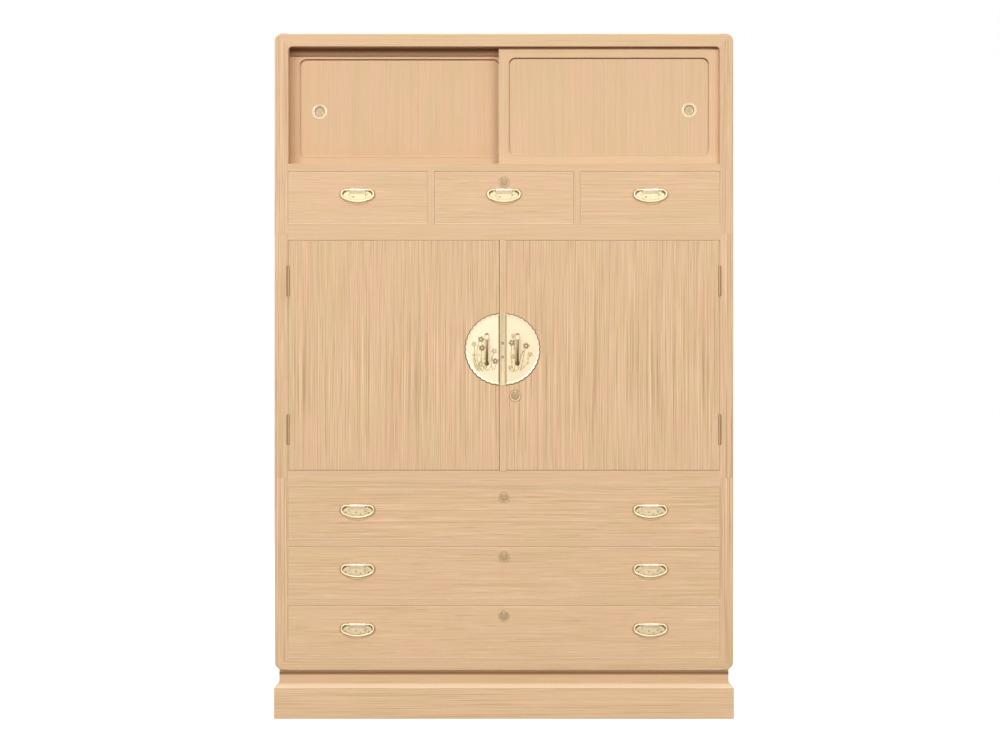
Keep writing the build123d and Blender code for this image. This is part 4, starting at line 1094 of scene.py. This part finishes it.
lockLook = {
    "plateRadius": 13.5,
    "plateThickness": 1.2,
    "plateSteps": (         # shares of the way from the keyhole to the edge, and height
        (1.0, 0.0), (1.0, 0.5), (0.93, 1.0), (0.86, 1.35), (0.80, 1.3), (0.76, 1.0), (0.5, 1.1), (0.0, 1.2),
        (0.0, 0.0), (1.0, 0.0),
    ),
    "plateSides": 48,
    "shadowSteps": 2,         # of the plate's edge, with a painted shadow outline
    "keyhole": (2.2, 1.3, 7.0),         # its round part, half its slot's width and how far down that goes
    "coverRadius": 9.2,
    "eyeRadius": 3.0,
    "coverThickness": 1.3,
    "coverSteps": (         # shares of the way from the pin's hole to the edge, and height or domed
        (1.0, 0.0), (1.0, 0.55), (0.93, 1.0), (0.8, None), (0.6, None), (0.4, None), (0.2, None), (0.0, None),
        (0.0, 0.0), (1.0, 0.0),
    ),
    "coverSides": (44, 10),             # round the disc and round its eye
    "coverDome": (0.45, 0.9),           # rise, and its reach as a share of the disc
    "gap": 0.3,
    "hang": 9.6,
    "pin": 1.2,
    "pinSunk": 0.4,
    "pinHead": ((0.0, 0.0), (1.0, 0.0), (1.0, 0.25), (0.5, 0.75), (-0.5, 1.05)),     # past its radius, height
    "pinSides": 20,
    "pinGap": 0.05,         # between its head and the cover
    "pinPlay": 0.06,
    "caseWidth": 46.0,
    "caseHeight": 30.0,
    "caseThickness": 11.0,
    "caseBevel": 0.6,
    "caseGap": 0.05,        # under the edge that it is let into
    "drawerScrews": (4.5, 6.0),         # in from the case's sides, and from its top and foot
    "doorScrews": (6.0, 5.0),
}


def keyholeReach(turn):
    radius, slotHalf, slotDepth = lockLook["keyhole"]
    across, down = abs(math.cos(turn)), -math.sin(turn)
    slot = min(slotHalf / max(across, 1e-6), slotDepth / down) if down > 1e-6 else 0.0
    return max(radius, slot)


def escutcheon(build, at, radius):
    rings = []
    for share, level in lockLook["plateSteps"]:
        ring = []
        for turn in turns(lockLook["plateSides"]):
            inner = keyholeReach(turn)
            reach = inner + (radius - inner) * share
            ring.append(at(reach * math.cos(turn), reach * math.sin(turn), level))
        rings.append(ring)
    faces = loft(build, rings, capStart=False, capEnd=False)
    paint(faces[:lockLook["shadowSteps"] * lockLook["plateSides"]], 1)
    pin, thick = lockLook["pin"], lockLook["plateThickness"]
    top = thick + 2 * lockLook["gap"] + lockLook["coverThickness"] + lockLook["pinGap"]
    foot = [(pin, thick - lockLook["pinSunk"], 0)]
    head = [(pin + more, top + rise, 0) for more, rise in lockLook["pinHead"]]
    turned(build, lambda u, v, h: at(u, v + lockLook["hang"], h), foot + head, lockLook["pinSides"], index=2)


def coverOutline():
    spread = math.degrees(math.acos((lockLook["coverRadius"] - lockLook["eyeRadius"]) / lockLook["hang"]))
    discSteps, eyeSteps = lockLook["coverSides"]
    disc = arc(0, 0, lockLook["coverRadius"], 90 + spread, 450 - spread, discSteps)
    eye = arc(0, lockLook["hang"], lockLook["eyeRadius"], 90 - spread, 90 + spread, eyeSteps)
    return disc + eye[1:-1]


def keyholeCover(name, body, x, z, node):
    build = bmesh.new()
    at = onFront(x, frontY - lockLook["plateThickness"] - lockLook["gap"], z)
    hole = lockLook["pin"] + lockLook["pinPlay"]
    rise, reach = lockLook["coverDome"]
    rings = []
    for share, level in lockLook["coverSteps"]:
        ring = []
        for u, v in coverOutline():
            angle = math.atan2(v - lockLook["hang"], u)
            near = (hole * math.cos(angle), lockLook["hang"] + hole * math.sin(angle))
            a, b = near[0] + (u - near[0]) * share, near[1] + (v - near[1]) * share
            swell = rise * max(0.0, 1 - (a * a + b * b) / (reach * lockLook["coverRadius"]) ** 2)
            ring.append(at(a, b, lockLook["coverThickness"] + swell if level is None else level))
        rings.append(ring)
    loft(build, rings, capStart=False, capEnd=False)
    pieceFrom(build, name, body, "bronze", [coverBrass], node, smooth=50)


screwLook = {
    "radius": 2.2,
    "proud": 0.35,
    "sunk": 0.3,
    "steps": ((1.0, 0.3), (0.75, 0.85), (0.2, 1.0)),     # shares of its radius and of how proud it stands
    "sides": 16,
    "slot": (0.8, 0.22, 0.7, 0.36),     # half length as a share of the radius, half width, level and height
}


def screwHead(build, place, facing, radius=screwLook["radius"], proud=screwLook["proud"]):
    facing = Vector(facing)
    side = facing.orthogonal().normalized()
    up = facing.cross(side)
    centre = Vector(place)
    rings = []
    around = turns(screwLook["sides"])
    steps = [(share, height * proud) for share, height in screwLook["steps"]]
    for reach, level in [(1.0, -screwLook["sunk"])] + steps:
        spokes = (reach * radius * (math.cos(turn) * side + math.sin(turn) * up) for turn in around)
        rings.append([tuple((centre + facing * level + spoke) * mm) for spoke in spokes])
    loft(build, rings)
    long, wide, level, height = screwLook["slot"]
    corners = [centre + facing * (proud * level) + side * a * radius * long + up * b * wide
               for a, b in ((-1, -1), (1, -1), (1, 1), (-1, 1))]
    upper = [tuple((point + facing * proud * height) * mm) for point in corners]
    loft(build, [[tuple(point * mm) for point in corners], upper], index=1)


def lockCase(name, body, low, high, across, up):        # its corners, and where its screws stand
    build = bmesh.new()
    block(build, low, high, bevel=lockLook["caseBevel"])
    for x in across:
        for z in up:
            screwHead(build, (x, high[1], z), (0, 1, 0))
    pieceFrom(build, name, body, "brass", [steel, patinaAndShadow])


def drawerFittings(name):
    bails = sorted(member for member in nodes if member.startswith(name) and member.endswith("bail"))
    build = bmesh.new()
    for bail in bails:
        low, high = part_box(bail)
        x, z = (low.x + high.x) / 2 / mm, high.z / mm - bailLook["bar"] / 2
        seatPlate(build, onFront(x, frontY, z), name.split("_")[0])
        ring = bmesh.new()
        bailRing(ring, onFront(x, frontY, z))
        pieceFrom(ring, bail + "_ring", bail, "brass", [wireBrass], bail)
    pieceFrom(build, name + "_handle_seats", name, "brass",
              [seatBrass, patinaAndShadow, rimAndHighlightBrass, faintPatina, seatEdgeBrass], name + "_fittings")
    cover = name + "_keyhole_cover"
    if cover not in nodes:
        return
    low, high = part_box(cover)
    x, z = (low.x + high.x) / 2 / mm, low.z / mm + lockLook["coverRadius"]
    build = bmesh.new()
    escutcheon(build, onFront(x, frontY, z), lockLook["plateRadius"])
    pieceFrom(build, name + "_escutcheon", name, "brass", [tanBrass, patinaAndShadow, seatBrass])
    keyholeCover(name + "_cover", cover, x, z, cover)
    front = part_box(name + "_front")[1]
    top, back, half, height = front.z / mm, front.y / mm, lockLook["caseWidth"] / 2, lockLook["caseHeight"]
    fromSide, fromEnd = lockLook["drawerScrews"]
    lockCase(name + "_lock", name, (x - half, back - lockLook["caseThickness"], top - height),
             (x + half, back, top - lockLook["caseGap"]), (x - half + fromSide, x + half - fromSide),
             (top - height + fromEnd, top - fromEnd))


for name in drawers:
    drawerFittings(name)
print("drawer fittings made")

low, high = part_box("door_keyhole_cover")
lockX, lockZ = (low.x + high.x) / 2 / mm, low.z / mm + lockLook["coverRadius"]
build = bmesh.new()
escutcheon(build, onFront(lockX, frontY, lockZ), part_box("door_lock")[1].x / mm - lockX)
pieceFrom(build, "door_escutcheon", "right_door", "brass", [tanBrass, patinaAndShadow, seatBrass], "door_lock")
keyholeCover("door_cover", "door_keyhole_cover", lockX, lockZ, "door_keyhole_cover")
low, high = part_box("right_door")
doorEdge, doorBack, half = low.x / mm, high.y / mm, lockLook["caseWidth"] / 2
farSide = lockX + lockLook["caseHeight"] / 2
fromSide, fromEnd = lockLook["doorScrews"]
lockCase("door_lock_case", "right_door",
         (doorEdge + lockLook["caseGap"], doorBack - lockLook["caseThickness"], lockZ - half),
         (farSide, doorBack, lockZ + half), (doorEdge + fromSide, farSide - fromSide),
         (lockZ - half + fromEnd, lockZ + half - fromEnd))

cupLook = {
    "proud": 1.2,
    "profile": [        # radius and height, from behind the flange over the rim to the middle of the floor
        (17.8, -7.4, 0), (18.0, 0.0, 0), (18.5, 0.05, 0), (18.5, 0.45, 0), (18.1, 0.85, 0),
        (17.4, 0.95, 0), (16.9, 0.7, 0), (15.2, 0.7, 0), (14.7, 1.05, 0), (14.0, 1.15, 0),
        (13.3, 0.9, 0), (13.0, 0.2, 0), (12.8, -2.0, 0), (12.2, -4.6, 0), (11.0, -5.8, 0),
        (9.6, -6.1, 0), (9.3, -5.85, 0), (8.9, -6.1, 0), (5.0, -6.2, 0), (1.0, -6.2, 0),
    ],
    "sectors": 96,
    "rows": ((0, 3, "dark"), (3, 11, "rim"), (6, 7, "groove")),     # steps of the profile, and their metal
    "beads": 28,
    "beadRing": 16.05,
    "bead": (0.6, 2.5, 1.9, 0.6),       # level, length, width and rise
    "beadSides": 8,
    "petals": 7.6,
    "petalLevel": -6.15,
}
cupParts = {"floor": 0, "dark": 1, "rim": 2, "groove": 3}
for side in ("left", "right"):
    low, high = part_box(side + "_finger_cup")
    x, z = (low.x + high.x) / 2 / mm, (low.z + high.z) / 2 / mm
    build = bmesh.new()
    at = onFront(x, low.y / mm + cupLook["proud"], z)
    sectors = cupLook["sectors"]
    faces = turned(build, at, cupLook["profile"], sectors)
    for first, past, part in cupLook["rows"]:
        paint(faces[first * sectors:past * sectors], cupParts[part])
    for turn in turns(cupLook["beads"]):
        place = (cupLook["beadRing"] * math.cos(turn), cupLook["beadRing"] * math.sin(turn))
        dome(build, at, *place, *cupLook["bead"], turn, cupLook["beadSides"], cupParts["rim"])
    blossom(build, at, 0, 0, cupLook["petals"], cupLook["petalLevel"], turn=math.pi / 2,
            darkIndex=cupParts["groove"])
    pieceFrom(build, side + "_cup", side + "_sliding_door", "brass",
              [cupFloorBrass, patinaAndShadow, cupRimBrass, seatEdgeBrass], side + "_finger_cup", smooth=50)
print("finger cups made")

hingeLook = {
    "length": 73.0,
    "knuckle": 3.5,
    "bevel": 0.3,               # at the ends of a knuckle
    "gap": 0.3,
    "leafWidth": 22.0,
    "leafThickness": 1.8,
    "leafBevel": 0.25,
    "leafGap": 0.2,
    "leafFrom": 4.0,            # from the pin's axis back to the leaf
    "leafLap": 0.2,             # of the strip that joins a knuckle to its leaf
    "tip": ((1.9, -0.3), (1.9, 0.1), (1.6, 0.9), (0.8, 1.4), (0.2, 1.5)),
    "sides": 20,
    "screws": (-26, 0, 26),
    "screwHead": (2.6, 0.06),           # radius, and how proud
    "shadeFrom": (-1.0, 0.4, 0.08, 0.85),       # out from the pin's axis, where the shade starts and is full
    "spots": (160.0, 3.0),
    "spotShare": (0.5, 0.75),
    "roughness": (0.16, 0.44),
    "metallic": 0.3,
}
low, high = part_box("frame_hinges")
pinX = high.x / mm - hingeLook["knuckle"]
pinY = low.y / mm + hingeLook["knuckle"]
hingeLevels = [low.z / mm + hingeLook["length"] / 2, high.z / mm - hingeLook["length"] / 2]


def hingeMetal():               # painted shade on the far side of the pin, lighter on the doors' side
    material, tree, shader = newMaterial("hingeBrass")
    place = addNode(tree, "ShaderNodeTexCoord").outputs["Object"]
    beyond = calc(tree, "SUBTRACT", calc(tree, "ABSOLUTE", split(tree, place)[0]), pinX * mm)
    many, detail = hingeLook["spots"]
    spots = noise(tree, place, (many, many, many), detail)
    start, full, least, most = hingeLook["shadeFrom"]
    share = ramp(tree, beyond, start * mm, full * mm, least, most)
    share = times(tree, share, calc(tree, "MULTIPLY_ADD", spots, *hingeLook["spotShare"]))
    share = calc(tree, "MINIMUM", share, 1.0)
    colour = blendColours(tree, share, brassColours["hinge"], brassColours["hingeShade"])
    roughness = calc(tree, "MULTIPLY_ADD", spots, *hingeLook["roughness"])
    surface(tree, shader, colour, roughness, metallic=hingeLook["metallic"])
    return material


hingeBrass = hingeMetal()


def upright(build, x, rings):
    made = []
    for radius, level in rings:
        made.append([((x + radius * math.cos(turn)) * mm, (pinY + radius * math.sin(turn)) * mm, level * mm)
                     for turn in turns(hingeLook["sides"])])
    loft(build, made)


def knuckle(build, x, low, high):
    radius, bevel = hingeLook["knuckle"], hingeLook["bevel"]
    tip = radius - bevel
    upright(build, x, ((tip, low), (radius, low + bevel), (radius, high - bevel), (tip, high)))


def hingeSet(name, body, node, sides, ownKnuckles, toward):
    build = bmesh.new()
    length = hingeLook["length"]
    pitch = length / 3
    leafY = pinY + hingeLook["leafFrom"]
    inner = hingeLook["leafGap"] / 2
    outer = inner + hingeLook["leafThickness"]
    radius, proud = hingeLook["screwHead"]
    for side in sides:
        x = side * pinX
        near, far = sorted((x - side * toward * inner, x - side * toward * outer))
        for level in hingeLevels:
            base = level - length / 2
            block(build, (near, leafY, base), (far, leafY + hingeLook["leafWidth"], base + length),
                  bevel=hingeLook["leafBevel"])
            for number in ownKnuckles:
                start = base + number * pitch + hingeLook["gap"] / 2
                end = start + pitch - hingeLook["gap"]
                block(build, (near, pinY, start), (far, leafY + hingeLook["leafLap"], end))
                knuckle(build, x, start, end)
            if toward < 0:      # the pin's two round tips
                upright(build, x, [(reach, base + length + rise) for reach, rise in hingeLook["tip"]])
                upright(build, x, [(reach, base - rise) for reach, rise in hingeLook["tip"]])
            for rise in hingeLook["screws"]:
                place = (x - side * toward * inner, leafY + hingeLook["leafWidth"] / 2, level + rise)
                screwHead(build, place, (side * toward, 0, 0), radius=radius, proud=proud)
    pieceFrom(build, name, body, "brass", [hingeBrass, patinaAndShadow], node)


hingeSet("hinge_frame_leaves", "chest", "frame_hinges", (-1, 1), (0, 2), -1)
hingeSet("hinge_left_leaves", "left_door", "left_door_hinges", (-1,), (1,), 1)
hingeSet("hinge_right_leaves", "right_door", "right_door_hinges", (1,), (1,), 1)
print("hinges made")

stageLook = {
    "floorReach": 30.0,
    "floorDrop": 0.4,           # in millimetres, so that the plinth's foot shows
    "floorColour": (0.55, 0.55, 0.55, 1),
    "floorShade": (0.50, 0.50, 0.50, 1),
    "floorSpeck": (3.0, 0.05),  # in a metre, and how far it shows
    "floorRoughness": 0.95,
    "floorLift": 0.90,
    "glossShare": 0.5,
    "worldLight": 0.23,
    "lamps": {      # name: place, target, size, power
        "keyLamp": ((-2.4, -5.0, 2.9), (0, 0, 0.0), (3.0, 1.3), 137.0),
        "fillLamp": ((2.4, -5.0, 2.7), (0, 0, 0.0), (3.0, 1.3), 109.0),
        "leftLamp": ((-3.6, 0.9, 1.9), (0, 0, 0.85), (1.6, 1.8), 40.0),
        "rightLamp": ((3.6, 0.9, 1.9), (0, 0, 0.85), (1.6, 1.8), 40.0),
        "topLamp": ((0.0, -0.2, 4.8), (0, 0, 0.85), (2.4, 1.6), 55.0),
        "backLamp": ((0.3, 4.4, 2.6), (0, 0, 0.85), (2.6, 1.6), 60.0),
    },
}


def floorPaint():
    material, tree, shader = newMaterial("studioFloorPaint")
    many, amount = stageLook["floorSpeck"]
    speck = noise(tree, addNode(tree, "ShaderNodeTexCoord").outputs["Object"], (many, many, many))
    colour = blendColours(tree, times(tree, speck, amount), stageLook["floorColour"], stageLook["floorShade"])
    tree.links.new(colour, shader.inputs["Base Color"])
    shader.inputs["Roughness"].default_value = stageLook["floorRoughness"]
    shader.inputs["Specular IOR Level"].default_value = 0.0
    path = addNode(tree, "ShaderNodeLightPath").outputs
    seen = calc(tree, "MAXIMUM", path["Is Camera Ray"], path["Is Transmission Ray"])
    seen = calc(tree, "MAXIMUM", seen, times(tree, path["Is Glossy Ray"], stageLook["glossShare"]))
    lift = times(tree, seen, stageLook["floorLift"])
    glow = addNode(tree, "ShaderNodeEmission", [(0, (1, 1, 1, 1)), (1, lift)])
    total = addNode(tree, "ShaderNodeAddShader", [(0, shader.outputs[0]), (1, glow.outputs[0])])
    tree.links.new(total.outputs[0], tree.nodes["Material Output"].inputs[0])
    return material


build = bmesh.new()
reach, floorZ = stageLook["floorReach"], -stageLook["floorDrop"] * mm
corners = ((-reach, -reach, floorZ), (reach, -reach, floorZ), (reach, reach, floorZ), (-reach, reach, floorZ))
build.faces.new([build.verts.new(corner) for corner in corners])
mesh = bpy.data.meshes.new("studioFloor")
build.to_mesh(mesh)
build.free()
mesh.materials.append(floorPaint())
floor = bpy.data.objects.new("studioFloor", mesh)
bpy.context.scene.collection.objects.link(floor)

world = bpy.data.worlds.new("studioWorld")
world.use_nodes = True
bpy.context.scene.world = world
tree = world.node_tree
path = addNode(tree, "ShaderNodeLightPath").outputs
seen = calc(tree, "MAXIMUM", path["Is Camera Ray"], path["Is Glossy Ray"])
seen = calc(tree, "MAXIMUM", seen, path["Is Transmission Ray"])
strength = calc(tree, "MULTIPLY_ADD", seen, 1.0 - stageLook["worldLight"], stageLook["worldLight"])
background = tree.nodes["Background"]
background.inputs[0].default_value = (1, 1, 1, 1)
tree.links.new(strength, background.inputs[1])

for name, (place, target, size, power) in stageLook["lamps"].items():
    lamp = bpy.data.lights.new(name, "AREA")
    lamp.shape = "RECTANGLE"
    lamp.size, lamp.size_y = size
    lamp.energy = power
    holder = bpy.data.objects.new(name, lamp)
    holder.location = place
    holder.rotation_euler = (Vector(target) - Vector(place)).to_track_quat("-Z", "Y").to_euler()
    bpy.context.scene.collection.objects.link(holder)

cameraLook = {
    "lens": 72.6,
    "sensor": 36.0,
    "place": (-0.0098, -5.214, 0.865),
    "tilt": 90,                 # degrees: it looks level at the front
}
camera = bpy.data.cameras.new("camera")
camera.lens = cameraLook["lens"]
camera.sensor_width = cameraLook["sensor"]
camera.dof.use_dof = False
holder = bpy.data.objects.new("camera", camera)
holder.location = cameraLook["place"]
holder.rotation_euler = (math.radians(cameraLook["tilt"]), 0, 0)
bpy.context.scene.collection.objects.link(holder)
bpy.context.scene.camera = holder
bpy.context.scene.view_settings.view_transform = "Standard"
print("stage, light and camera ready")
